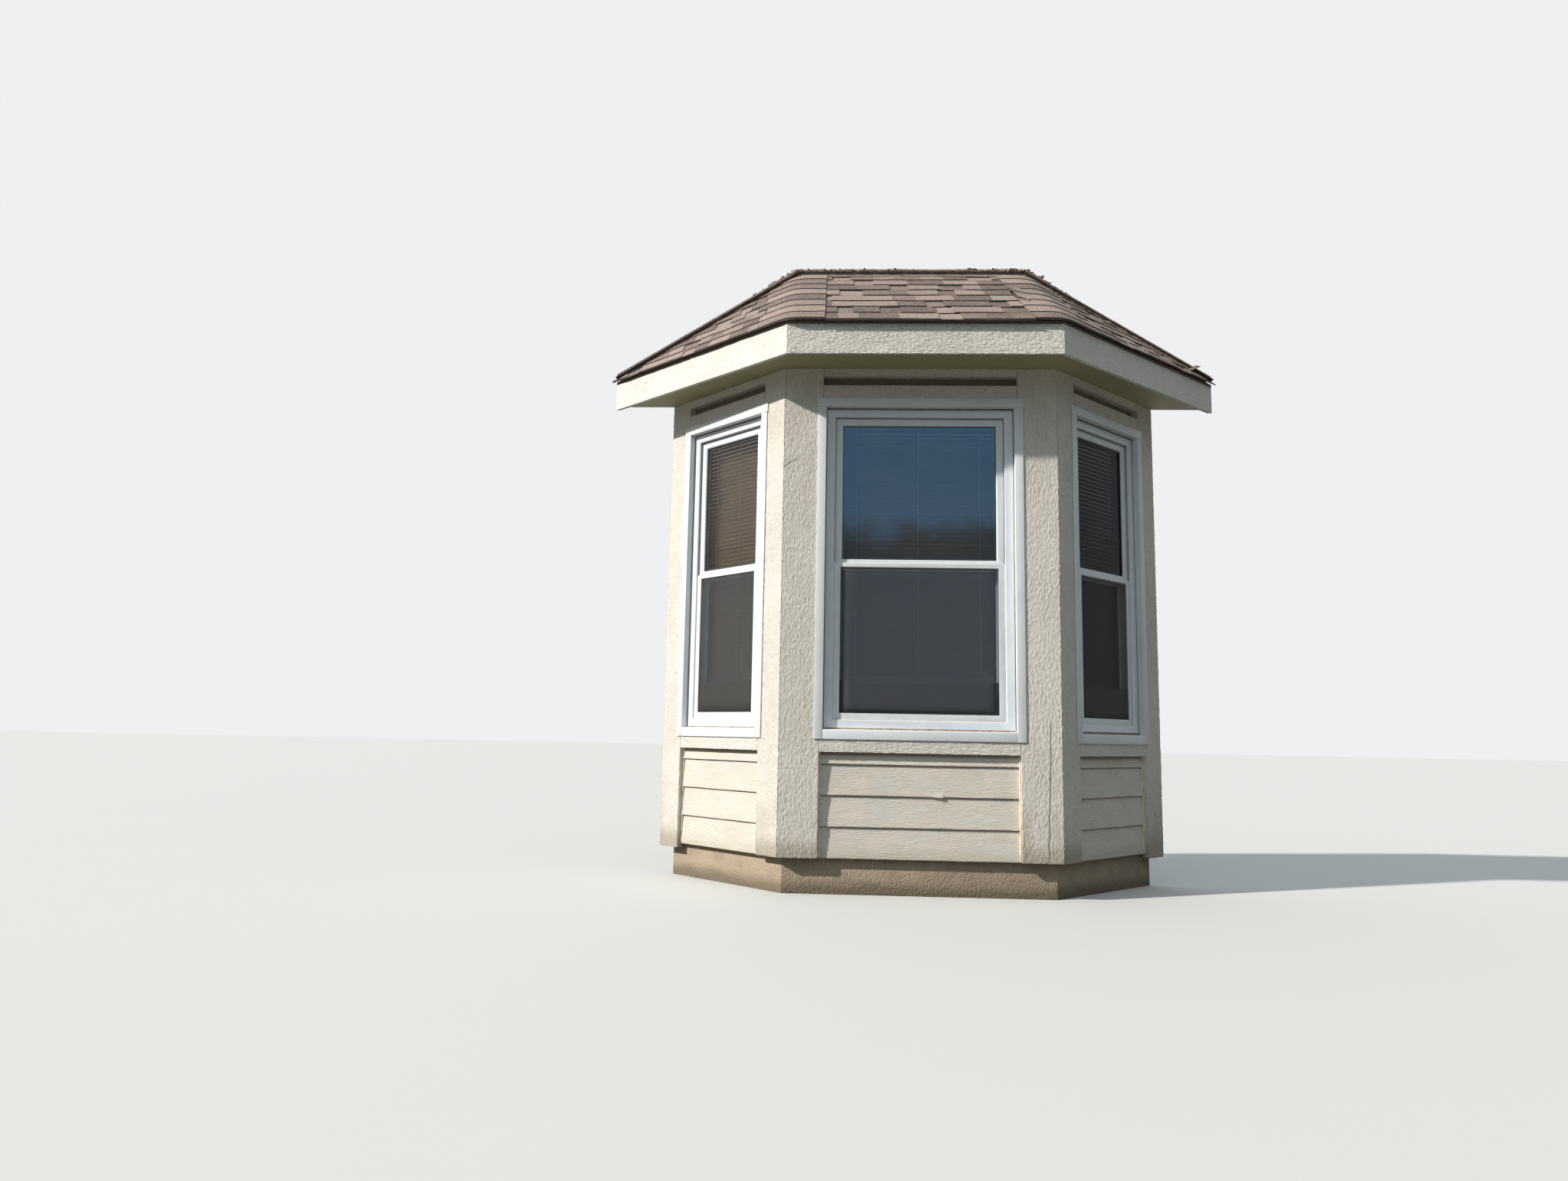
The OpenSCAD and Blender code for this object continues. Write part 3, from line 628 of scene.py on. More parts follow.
@dataclass(frozen=True)
class InsectMesh(Finish):
    """Dark woven mesh, thin enough to see the window behind it, with a dense dark band at its foot that is painted
    shade for the dark room behind.
    """

    colour: Colour = (0.078, 0.082, 0.088)
    foot_shade_colour: Colour = (0.036, 0.038, 0.043)
    dust_colour: Colour = (0.15, 0.13, 0.11)
    pitch: float = 1.6 * MM
    foot_shade_z: float = 0.952

    def build(self) -> Material:
        """Makes the material.

        Returns:
            The material.
        """
        g = ShaderGraph(self.name)
        dust = g.noise(g.place, 11.0, 4.0)
        slack = g.noise(g.place, 2.2, 2.0)
        thread = g.node("ShaderNodeTexWave", {"bands_direction": "Z"},
                        {"Vector": g.place, "Scale": 0.31 / self.pitch})
        # Painted shade: the foot of the mesh is dense and dark, standing for the dark room behind it.
        foot = 1.0 - g.height().rises(self.foot_shade_z, self.foot_shade_z + 0.016)
        cover = 0.26 + thread * 0.07 + slack * 0.08
        cover = cover + (0.80 - cover) * foot
        body = g.blend(self.colour, self.dust_colour, dust.rises(0.5, 0.8) * 0.4)
        body = g.blend(body, self.foot_shade_colour, foot)
        return g.surface(Base_Color=body, Roughness=0.75, Alpha=cover)


@dataclass(frozen=True)
class PlainMatter(Finish):
    """A mottled finish of one colour, for small and inner pieces."""

    colour: Colour
    second: Colour
    scale: float
    roughness: float
    relief: float = 0.3 * MM
    metallic: float = 0.0

    def build(self) -> Material:
        """Makes the material.

        Returns:
            The material.
        """
        g = ShaderGraph(self.name)
        cloud = g.noise(g.place, self.scale, 5.0)
        grit = g.noise(g.place, self.scale * 14.0, 3.0)
        body = g.blend(self.colour, self.second, cloud.rises(0.38, 0.66))
        return g.surface(Base_Color=body, Roughness=self.roughness + (cloud - 0.5) * 0.16,
                         Metallic=self.metallic, Normal=g.bump(grit * 0.6 + cloud * 0.4, self.relief))


@dataclass(frozen=True)
class SlatPaint(Finish):
    """Satin paint on thin slats, with a painted highlight on their rims that fades out higher up."""

    colour: Colour = (0.40, 0.30, 0.205)
    rim: Colour = (0.90, 0.84, 0.74)
    highlight_fade_z: Pair = (1.72, 2.1)

    def build(self) -> Material:
        """Makes the material.

        Returns:
            The material.
        """
        g = ShaderGraph(self.name)
        cloud = g.noise(g.place, 1.6, 3.0)
        body = g.mottled(self.colour, 0.86, cloud.rises(0.4, 0.7))
        # Painted highlight on the slats' rims, weaker towards the top.
        dim = 1.0 - g.height().rises(*self.highlight_fade_z) * 0.7
        body = g.blend(body, self.rim, g.attribute("rim").rises(0.62, 0.92) * dim * 0.7)
        return g.surface(Base_Color=body, Roughness=0.38 + cloud * 0.1,
                         Normal=g.bump(g.noise(g.place, 160.0, 2.0), 0.05 * MM))


@dataclass(frozen=True)
class Timber(Finish):
    """Sawn softwood with its growth rings and fine grain."""

    turn: float = 0.0
    grain: Grain = Grain.LEVEL
    early: Colour = (0.62, 0.45, 0.27)
    late: Colour = (0.42, 0.26, 0.13)
    # Dark colour painted in the recess under the frieze, as painted shade.
    painted: Colour = (0.17, 0.15, 0.105)
    painted_z: Pair = (9.0, 9.1)

    def build(self) -> Material:
        """Makes the material.

        Returns:
            The material.
        """
        g = ShaderGraph(self.name)
        upright = self.grain is Grain.UPRIGHT
        size = (0.035, 0.035, 0.55) if upright else (0.55, 0.035, 0.035)
        fine_size = (0.002, 0.002, 0.04) if upright else (0.04, 0.002, 0.002)
        sweep = g.noise(g.stretched(self.turn, size), 1.0, 2.0, 0.5, 0.8)
        rings = (sweep * 44.0).maths("SINE") * 0.5 + 0.5
        fine = g.noise(g.stretched(self.turn, fine_size), 1.0, 3.0)
        body = g.blend(self.early, self.late, rings.rises(0.45, 0.95) * 0.6)
        body = g.blend(body, tuple(c * 0.7 for c in self.early), fine.rises(0.5, 0.8) * 0.5)
        # Painted shade: the outward faces in the recess under the frieze get a dark colour, standing for the shade in
        # that slot.
        z = g.height()
        low, high = self.painted_z
        painted = z.rises(low - 0.01, low) * (1.0 - z.rises(high, high + 0.01))
        painted = painted * (1.0 - g.facing(1).rises(-0.4, -0.3))
        body = g.blend(body, self.painted, painted)
        return g.surface(Base_Color=body, Roughness=0.72 + fine * 0.12,
                         Normal=g.bump(rings * 0.4 + fine * 0.6, 0.6 * MM))


@dataclass(frozen=True)
class Granules(Finish):
    """Mineral granules on asphalt shingles. Each shingle has a tone of its own. Butts and sides are near black, bare
    asphalt darkened further as painted shade.
    """

    dark: Colour = (0.115, 0.074, 0.060)
    pale: Colour = (0.355, 0.262, 0.222)
    tan: Colour = (0.30, 0.245, 0.195)
    pit: Colour = (0.045, 0.034, 0.030)
    grain: Colour = (0.56, 0.48, 0.43)
    edge: Colour = (0.018, 0.014, 0.012)

    def build(self) -> Material:
        """Makes the material.

        Returns:
            The material.
        """
        g = ShaderGraph(self.name)
        blotch = g.noise(g.place, 7.0, 4.0)
        grit = g.noise(g.place, 330.0, 3.0, 0.75) * 0.55 + g.noise(g.place, 120.0, 3.0) * 0.45
        grains = g.cells(g.place, 300.0, "Color")
        spark = g.node("ShaderNodeSeparateColor", inputs={"Color": grains})
        # The edge layer is near black: bare asphalt, with painted shade on the butts.
        body = g.layered(
            g.blend(self.dark, self.pale, g.attribute("tone").rises(0.0, 1.0)),
            (self.tan, blotch.rises(0.55, 0.78) * 0.5),
            (self.pit, (1.0 - grit.rises(0.38, 0.52)) * 0.85),
            (self.grain, spark.rises(0.74, 0.95) * 0.6), (self.edge, g.attribute("edge") * 0.97))
        return g.surface(Base_Color=body, Roughness=0.88,
                         Normal=g.bump(grit * 0.8 + spark * 0.4, 1.4 * MM))


@dataclass(frozen=True)
class OldCaulk(Finish):
    """Lumpy painted caulk with dirt and moss in its hollows."""

    pale: Colour = (0.56, 0.50, 0.44)
    dull: Colour = (0.42, 0.355, 0.30)
    dirt: Colour = (0.14, 0.10, 0.07)
    moss: Colour = (0.13, 0.14, 0.05)

    def build(self) -> Material:
        """Makes the material.

        Returns:
            The material.
        """
        g = ShaderGraph(self.name)
        lump = g.noise(g.place, 24.0, 5.0, 0.65)
        dirt = g.noise(g.place, 11.0, 5.0, 0.7)
        body = g.layered(g.blend(self.pale, self.dull, lump.rises(0.4, 0.7)),
                         (self.dirt, dirt.rises(0.54, 0.66) * 0.85),
                         (self.moss, (1.0 - lump.rises(0.28, 0.40)) * 0.7))
        return g.surface(Base_Color=body, Roughness=0.8, Normal=g.bump(lump, 4.0 * MM))


@dataclass(frozen=True)
class Masonry(Finish):
    """Parged block below the siding, tan and pinkish, darker and damp at the ground."""

    tan: Colour = (0.47, 0.375, 0.27)
    pinkish: Colour = (0.37, 0.285, 0.215)
    sand: Colour = (0.58, 0.50, 0.39)
    damp: Colour = (0.17, 0.135, 0.09)

    def build(self) -> Material:
        """Makes the material.

        Returns:
            The material.
        """
        g = ShaderGraph(self.name)
        cloud = g.noise(g.place, 6.0, 6.0, 0.65)
        grit = g.noise(g.place, 120.0, 4.0, 0.7)
        pits = g.cells(g.place, 60.0, "Distance")
        damp = 1.0 - (g.height() + (cloud - 0.5) * 0.12).rises(0.015, 0.075)
        body = g.layered(g.blend(self.tan, self.pinkish, cloud.rises(0.4, 0.65)),
                         (self.sand, grit.rises(0.55, 0.75) * 0.5), (self.damp, damp * 0.75))
        pitted = (1.0 - pits.rises(0.1, 0.5)) * 0.4
        return g.surface(Base_Color=body, Roughness=0.9,
                         Normal=g.bump(grit + cloud * 0.8 - pitted, 3.0 * MM))


# Meshes


def publish(name: str, mesh: Mesh, finish: Finish, slot: str, stands_for: Sequence[str] = ()) -> None:
    """Makes a piece of the object from a finished mesh.

    Args:
        name: The piece's name.
        mesh: Its mesh, already in place.
        finish: Its finish.
        slot: The record's material slot.
        stands_for: The nodes of the frame that it replaces.
    """
    mesh.name = name
    mesh.materials.clear()
    mesh.materials.append(finish.material())
    piece = bpy.data.objects.new(name, mesh)
    bpy.context.scene.collection.objects.link(piece)
    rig.ride(piece, "root")
    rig.slot(piece, slot)
    if stands_for:
        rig.replaces(piece, *stands_for)
    LOG.info("%s: %d faces", name, len(mesh.polygons))


def soften(mesh: Mesh, angle: float) -> None:
    """Shades a mesh smooth up to an angle in degrees."""
    mesh.polygons.foreach_set("use_smooth", [True] * len(mesh.polygons))
    mesh.set_sharp_from_angle(angle=math.radians(angle))


def outwards(bm: BMesh) -> None:
    """Turns all faces of closed shapes outwards."""
    bmesh.ops.recalc_face_normals(bm, faces=bm.faces)


def mesh_of(bm: BMesh, angle: float = 0.0) -> Mesh:
    """Makes a mesh of a bmesh and frees that.

    Args:
        bm: The bmesh.
        angle: The mesh is shaded smooth up to this angle in degrees, unless it is 0.

    Returns:
        The mesh.
    """
    mesh = bpy.data.meshes.new("made")
    bm.to_mesh(mesh)
    bm.free()
    if angle:
        soften(mesh, angle)
    return mesh


def skin(bm: BMesh, rings: Sequence[Sequence[bmesh.types.BMVert]]) -> None:
    """Joins closed rings of vertices by faces, each ring with the next.

    Args:
        bm: The mesh that they are in.
        rings: The rings in order.
    """
    for first, second in zip(rings, rings[1:]):
        for k in range(len(first)):
            after = (k + 1) % len(first)
            bm.faces.new((first[k], first[after], second[after], second[k]))


def extent(points: Places) -> tuple[Vector, Vector]:
    """Lowest and highest corner of the box round some places."""
    low, high = (Vector([end(p[i] for p in points) for i in range(3)]) for end in (min, max))
    return low, high


def from_columns(columns: Places) -> Matrix:
    """The matrix whose columns are three directions and a place."""
    return Matrix((*([c[i] for c in columns] for i in range(3)), (0.0, 0.0, 0.0, 1.0)))


def paint_node(node: str, finish: Finish) -> None:
    """Gives a node of the frame a finish and leaves its shape alone.

    Args:
        node: The node's name.
        finish: Its finish.
    """
    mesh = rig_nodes()[node].data
    mesh.materials.clear()
    mesh.materials.append(finish.material())
    LOG.info("%s: painted", node)


def merged_copy(node: str) -> BMesh:
    """Copies a node's mesh, with its doubles merged and its flat faces whole again.

    Args:
        node: The node's name.

    Returns:
        The copy.
    """
    bm = bmesh.new()
    bm.from_mesh(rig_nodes()[node].data)
    bmesh.ops.remove_doubles(bm, verts=bm.verts, dist=DOUBLES)
    bmesh.ops.dissolve_limit(bm, angle_limit=FLAT, verts=bm.verts, edges=bm.edges)
    return bm


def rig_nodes() -> dict[str, bpy.types.Object]:
    """The nodes of the frame by name."""
    return {o["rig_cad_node"]: o for o in bpy.data.objects if "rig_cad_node" in o}


def islands(bm: BMesh) -> list[list[bmesh.types.BMVert]]:
    """Sorts out the loose solids of a mesh, from the lowest x to the highest.

    Args:
        bm: The mesh.

    Returns:
        The vertices of each solid.
    """
    left = set(bm.verts)
    groups = []
    while left:
        queue = [left.pop()]
        group = list(queue)
        while queue:
            for edge in queue.pop().link_edges:
                for vert in edge.verts:
                    if vert in left:
                        left.discard(vert)
                        queue.append(vert)
                        group.append(vert)
        groups.append(group)
    groups.sort(key=lambda g: [round(sum(v.co[i] for v in g) / len(g), 4) for i in range(3)])
    return groups


def rounded(bm: BMesh, edge: Edge) -> Mesh:
    """Rounds the sharp edges of a merged mesh.

    Args:
        bm: The merged mesh, which is freed.
        edge: How much they are rounded.

    Returns:
        The new mesh.
    """
    sharp = [e for e in bm.edges if len(e.link_faces) == 2 and e.calc_face_angle() > SHARP]
    bmesh.ops.bevel(bm, geom=sharp, offset=edge.value, segments=2, profile=0.6,
                    affect="EDGES", clamp_overlap=True)
    return mesh_of(bm, 35.0)


def swell(x: float, y: float, z: float) -> float:
    """Smooth noise at a place, between -1 and 1."""
    return noise.noise(Vector((x, y, z)))


def keep_hollows(mesh: Mesh, levels: Sequence[float]) -> None:
    """Stores how deep each vertex lies, so that the material can darken the hollows."""
    stored = mesh.attributes.new("hollow", "FLOAT", "POINT")
    stored.data.foreach_set("value", levels)


@dataclass(frozen=True)
class SawnRelief:
    """Cuts the relief of rough-sawn timber into a board, always inwards from its faces."""

    along: float = 5.6 * MM
    across: float = 2.8 * MM
    edge_across: float = 7.0 * MM
    depth: float = 2.2 * MM
    pebble: Pair = (7.4 * MM, 18.0 * MM)
    worn: float = 1.8 * MM

    def ribs(self, bm: BMesh, way: Vector) -> list[Ends]:
        """The long edges of a board in order round it.

        Args:
            bm: The board as a merged mesh.
            way: The direction of its grain.

        Returns:
            Start and end of its long edges, each from the same end of the board.
        """
        ends = {}
        for edge in bm.edges:
            span = edge.verts[1].co - edge.verts[0].co
            if abs(span.normalized().dot(way)) > 0.99:
                first, last = sorted(edge.verts, key=lambda v: v.co.dot(way))
                ends[first] = last
        order = [next(v for v in bm.verts if v in ends)]
        while len(order) < len(ends):
            near = (e.other_vert(order[-1]) for e in order[-1].link_edges)
            order.append(next(v for v in near if v in ends and v not in order))
        return [(v.co.copy(), ends[v].co.copy()) for v in order]

    def outline(self, ribs: Sequence[Ends], way: Vector,
                outward: Vector) -> list[tuple[int, float, Vector]]:
        """The points round a board's section.

        Args:
            ribs: Its long edges in order.
            way: The direction of its grain.
            outward: The direction in which its face looks.

        Returns:
            For each point the rib before it, its share of the way to the next one, and the
            direction that points out of the board there.
        """
        starts = [start for start, _ in ribs]
        middle = sum(starts, Vector()) / len(starts)
        normals, widths = [], []
        for start, after in zip(starts, starts[1:] + starts[:1]):
            side = after - start
            side -= way * side.dot(way)
            normal = way.cross(side).normalized()
            if normal.dot((start + after) / 2.0 - middle) < 0.0:
                normal.negate()
            normals.append(normal)
            widths.append(side.length)
        points = []
        for i, width in enumerate(widths):
            corner = (normals[i - 1] + normals[i]).normalized()
            points.append((i, 0.0, corner * 1.3))
            seen = normals[i].dot(outward)
            if seen < -0.5:
                continue
            step = self.across if seen > 0.5 else self.edge_across
            near = min(0.3, self.worn / width)
            count = max(2, round(width / step))
            points += [(i, near + (1.0 - 2.0 * near) * k / count, normals[i]) for k in range(count + 1)]
        return points

    def level(self, place: Vector, axes: Places) -> float:
        """Works out how deep the surface lies at a place.

        Args:
            place: The place.
            axes: Directions along the grain, across it and out of the board.

        Returns:
            0 on a crest to 1 in a groove.
        """
        u, v, w = (place.dot(a) for a in axes)
        wide, tall = self.pebble
        slow = swell(u / 0.06, v / 0.04, w / 0.04 + 7.0)
        grain = swell(u / tall, v / wide + 0.4 * slow, w / wide)
        groove = 1.0 - min(1.0, abs(grain) / 0.42)
        bump = swell(1.7 * u / tall, v / wide + 5.0, w / wide + 3.0)
        return min(1.0, max(0.0, 0.06 + 0.80 * groove + 0.22 * bump + 0.10 * slow))

    def mesh(self, bm: BMesh, way: Vector, outward: Vector) -> Mesh:
        """Makes the rough board.

        Args:
            bm: The plain board as a merged mesh, which is freed.
            way: The direction of its grain.
            outward: The direction in which its face looks.

        Returns:
            The new mesh.
        """
        ribs = self.ribs(bm, way)
        bm.free()
        points = self.outline(ribs, way, outward)
        axes = (way, way.cross(outward).normalized(), outward)
        length = max((end - start).length for start, end in ribs)
        rows = max(2, round(length / self.along))
        near = self.worn / length
        shares = [0.0, *(near + (1.0 - 2.0 * near) * j / rows for j in range(rows + 1)), 1.0]
        low, high = extent([v for rib in ribs for v in rib])
        made = bmesh.new()
        rings, hollows = [], []
        for share in shares:
            ring = []
            for i, part, normal in points:
                first, last = (a.lerp(b, part) for a, b in zip(ribs[i], ribs[(i + 1) % len(ribs)]))
                place = first.lerp(last, share)
                level = self.level(place, axes)
                push = self.depth * level
                if part == 0.0:
                    push += self.worn * (0.3 + 0.5 * level)
                if share in (0.0, 1.0):
                    push += 0.6 * self.worn
                    slip = self.depth * self.level(place + way * 0.3, axes)
                    place = place + way * (slip if share == 0.0 else -slip)
                place = place - normal * push
                inside = [min(max(place[k], low[k]), high[k]) for k in range(3)]
                ring.append(made.verts.new(inside))
                hollows.append(level)
            rings.append(ring)
        skin(made, rings)
        made.faces.new(rings[0])
        made.faces.new(rings[-1])
        outwards(made)
        mesh = mesh_of(made, 50.0)
        keep_hollows(mesh, hollows)
        return mesh


def dress_copy(node: str, finish: Finish, slot: str, edge: Edge) -> None:
    """Replaces a node by the same shape with rounded edges and a finish."""
    publish(f"{node}.worked", rounded(merged_copy(node), edge), finish, slot, [node])


def loose_solid(node: str, index: int) -> BMesh:
    """Copies one of a node's loose solids.

    Args:
        node: The node's name.
        index: Its number, counted from the lowest x.

    Returns:
        The copy.
    """
    bm = merged_copy(node)
    others = [v for i, group in enumerate(islands(bm)) if i != index for v in group]
    bmesh.ops.delete(bm, geom=others, context="VERTS")
    return bm


# The faces of the bay


@dataclass(frozen=True)
class Face:
    """A face of the bay, with places as x along it, d inwards and z up."""

    name: str
    origin: Vector
    turn: float

    @property
    def along(self) -> Vector:
        """Direction of x, from left to right as seen from outside."""
        return Vector((math.cos(self.turn), math.sin(self.turn), 0.0))

    @property
    def inward(self) -> Vector:
        """Direction of d."""
        return Vector((-math.sin(self.turn), math.cos(self.turn), 0.0))

    def point(self, x: float, d: float, z: float) -> Vector:
        """A place on the face in the shared frame."""
        return self.origin + self.along * x + self.inward * d + UP * z

    def matrix(self) -> Matrix:
        """Takes local places to the shared frame."""
        return from_columns((self.along, self.inward, UP, self.origin))

    def box(self, node: str) -> tuple[Vector, Vector]:
        """Lowest and highest corner of a node in the face's own places."""
        back = self.matrix().inverted()
        return extent([back @ v.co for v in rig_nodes()[node].data.vertices])


def bay_faces() -> dict[str, Face]:
    """Works out the three faces from the frame.

    Returns:
        The faces by name.
    """
    low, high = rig.box("right_front_corner_board")
    front_half, front_y = high.x, low.y
    wall_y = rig.box("right_wall_board")[1].y
    side_half = (wall_y - front_y) / math.sin(SIDE_TURN) / 2.0
    middle = Vector((front_half, front_y, 0.0)) + side_half * Vector(
        (math.cos(SIDE_TURN), math.sin(SIDE_TURN), 0.0))
    return {
        "front": Face("front", Vector((0.0, front_y, 0.0)), 0.0),
        "right": Face("right", middle, SIDE_TURN),
        "left": Face("left", Vector((-middle.x, middle.y, 0.0)), -SIDE_TURN),
    }


def add_block(bm: BMesh, face: Face, low: Sequence[float], high: Sequence[float]) -> None:
    """Adds a block to a mesh.

    Args:
        bm: The mesh it goes into.
        face: The face of the bay.
        low: Its lowest corner in the face's places.
        high: Its highest corner.
    """
    made = bmesh.ops.create_cube(bm, size=1.0)
    size = [high[i] - low[i] for i in range(3)]
    middle = [(high[i] + low[i]) / 2.0 for i in range(3)]
    shape = face.matrix() @ Matrix.Translation(middle) @ Matrix.Diagonal((*size, 1.0))
    bmesh.ops.transform(bm, matrix=shape, verts=made["verts"])


# Geometry Nodes


class Growth(Graph):
    """A Geometry Nodes tree with named inputs that grows a mesh."""

    def __init__(self, name: str, inputs: dict[str, float | int]) -> None:
        """Makes the tree and its inputs.

        Args:
            name: The tree's name.
            inputs: Name and default value of each number it takes.
        """
        tree = bpy.data.node_groups.new(name, "GeometryNodeTree")
        super().__init__(tree)
        face = tree.interface
        face.new_socket("Geometry", in_out="OUTPUT", socket_type="NodeSocketGeometry")
        face.new_socket("Geometry", in_out="INPUT", socket_type="NodeSocketGeometry")
        self.sockets = {}
        for key, default in inputs.items():
            kind = "NodeSocketInt" if isinstance(default, int) else "NodeSocketFloat"
            socket = face.new_socket(key, in_out="INPUT", socket_type=kind)
            socket.default_value = default
            self.sockets[key] = socket.identifier
        self.entry = self.node("NodeGroupInput").socket.node

    def given(self, name: str) -> Value:
        """A named input of the tree."""
        return Value(self, self.entry.outputs[name])

    def vector(self, x: Number = 0.0, y: Number = 0.0, z: Number = 0.0) -> Value:
        """A vector from three numbers."""
        return self.node("ShaderNodeCombineXYZ", inputs={0: x, 1: y, 2: z})

    def moved(self, geometry: Value, offset: Value) -> Value:
        """The geometry with its points moved."""
        return self.node("GeometryNodeSetPosition", inputs={"Geometry": geometry, "Offset": offset})

    def marked(self, geometry: Value, name: str, domain: str, value: Value) -> Value:
        """The geometry with a number stored for its material."""
        return self.node("GeometryNodeStoreNamedAttribute", {"data_type": "FLOAT", "domain": domain},
                         {"Geometry": geometry, "Name": name, "Value": value})

    def random(self, low: Number, high: Number, seed: Number) -> Value:
        """A random number for each element."""
        return self.node("FunctionNodeRandomValue", {"data_type": "FLOAT"},
                         {2: low, 3: high, "Seed": seed}, output=1)

    def finish(self, geometry: Value, material: Material) -> None:
        """Ends the tree in real geometry with its material.

        Args:
            geometry: What it has grown.
            material: The material.
        """
        real = self.node("GeometryNodeRealizeInstances", inputs={"Geometry": geometry})
        painted = self.node("GeometryNodeSetMaterial", inputs={"Geometry": real, "Material": material})
        self.node("NodeGroupOutput", inputs={"Geometry": painted})

    def grow(self, start: Mesh, values: dict[str, float | int]) -> Mesh:
        """Runs the tree on a mesh.

        Args:
            start: The mesh that it grows from.
            values: The numbers for its named inputs.

        Returns:
            The result as a plain mesh.
        """
        holder = bpy.data.objects.new("growing", start)
        bpy.context.scene.collection.objects.link(holder)
        modifier = holder.modifiers.new("grow", "NODES")
        modifier.node_group = self.tree
        for key, number in values.items():
            modifier[self.sockets[key]] = number
        graph = bpy.context.evaluated_depsgraph_get()
        mesh = bpy.data.meshes.new_from_object(holder.evaluated_get(graph))
        holder.modifiers.remove(modifier)
        bpy.data.objects.remove(holder)
        return mesh


def points_mesh(points: Places = (), ways: Places = ()) -> Mesh:
    """Makes a mesh of loose points.

    Args:
        points: The points.
        ways: A direction for each one, if they have any.

    Returns:
        The mesh.
    """
    mesh = bpy.data.meshes.new("points")
    mesh.from_pydata([tuple(p) for p in points], [], [])
    if ways:
        stored = mesh.attributes.new("way", "FLOAT_VECTOR", "POINT")
        stored.data.foreach_set("vector", [c for d in ways for c in d])
    return mesh


def lines_mesh(lines: Sequence[Places]) -> Mesh:
    """Makes a mesh of edges.

    Args:
        lines: The points of each line in order.

    Returns:
        The mesh.
    """
    edges, first = [], 0
    for line in lines:
        edges += [(first + i, first + i + 1) for i in range(len(line) - 1)]
        first += len(line)
    mesh = bpy.data.meshes.new("lines")
    mesh.from_pydata([tuple(p) for line in lines for p in line], edges, [])
    return mesh


@dataclass
class NailHeads:
    """Rows of nail heads, grown from points with the direction that each one faces."""

    radius: float = 3.6 * MM
    proud: float = 1.3 * MM
    finish: Finish = PlainMatter("nail_paint", (0.60, 0.54, 0.46), (0.33, 0.22, 0.14), 60.0, 0.6)

    def tree(self) -> Growth:
        """Builds the tree that sets a shallow dome on each point.

        Returns:
            The tree.
        """
        g = Growth("Nail heads", {"Radius": 3.6 * MM, "Proud": 1.3 * MM, "Seed": 4})
        dome = g.node("GeometryNodeMeshUVSphere", inputs={"Segments": 10, "Rings": 6,
                                                          "Radius": g.given("Radius")})
        flat = g.given("Proud") / g.given("Radius")
        dome = g.node("GeometryNodeTransform", inputs={
            "Geometry": dome, "Scale": g.vector(1.0, 1.0, flat)})
        way = g.node("GeometryNodeInputNamedAttribute", {"data_type": "FLOAT_VECTOR"}, {"Name": "way"})
        turn = g.node("FunctionNodeAlignRotationToVector", {"axis": "Z"}, {"Vector": way})
        size = g.random(0.85, 1.15, g.given("Seed"))
        placed = g.node("GeometryNodeInstanceOnPoints", inputs={
            "Points": g.given("Geometry"), "Instance": dome,
            "Rotation": turn, "Scale": g.vector(size, size, size)})
        g.finish(placed, self.finish.material())
        return g

    def build(self, name: str, slot: str, spots: Sequence[Plane]) -> None:
        """Makes one piece of all the nail heads.

        Args:
            name: Name of the piece.
            slot: The record's material slot.
            spots: Place and direction of each one.
        """
        start = points_mesh([s[0] for s in spots], [s[1] for s in spots])
        mesh = self.tree().grow(start, {"Radius": self.radius, "Proud": self.proud})
        soften(mesh, 60.0)
        publish(name, mesh, self.finish, slot)


def keep_inside(mesh: Mesh, wall_y: float) -> None:
    """Keeps a mesh before the house wall and below the top of the roof.

    Args:
        mesh: The mesh.
        wall_y: Place of the house wall.
    """
    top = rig.box("wall_flashing")[1].z
    for vert in mesh.vertices:
        vert.co.y, vert.co.z = min(vert.co.y, wall_y), min(vert.co.z, top)


@dataclass
class CaulkGun:
    """Runs lumpy beads of caulk along lines."""

    finish: Finish
    slot: str
    lump: float = 0.55
    wall_y: float = 9.0

    def tree(self) -> Growth:
        """Builds the tree that runs a lumpy bead along a line.

        Returns:
            The tree.
        """
        g = Growth("Caulk bead", {"Radius": 0.015, "Lump": 0.007, "Seed": 3})
        line = g.node("GeometryNodeMeshToCurve", inputs={"Mesh": g.given("Geometry")})
        line = g.node("GeometryNodeResampleCurve", {"mode": "LENGTH"}, {"Curve": line, "Length": 0.006})
        ring = g.node("GeometryNodeCurvePrimitiveCircle", inputs={
            "Resolution": 10, "Radius": g.given("Radius")})
        bead = g.node("GeometryNodeCurveToMesh", inputs={
            "Curve": line, "Profile Curve": ring, "Fill Caps": True})
        lumps = g.node("ShaderNodeTexNoise", {"noise_dimensions": "4D"},
                       {"Scale": 34.0, "Detail": 4.0, "W": g.given("Seed")})
        way = g.node("GeometryNodeInputNormal")
        push = g.node("ShaderNodeVectorMath", {"operation": "SCALE"},
                      {0: way, "Scale": (lumps - 0.55) * g.given("Lump") * 2.0})
        g.finish(g.moved(bead, push), self.finish.material())
        return g

    def lay(self, name: str, path: Places, radius: float) -> None:
        """Lays one bead.

        Args:
            name: Name of the piece.
            path: The points that it runs through.
            radius: Its radius.
        """
        mesh = self.tree().grow(lines_mesh([path]), {"Radius": radius, "Lump": self.lump * radius})
        keep_inside(mesh, self.wall_y)
        soften(mesh, 70.0)
        publish(name, mesh, self.finish, self.slot)


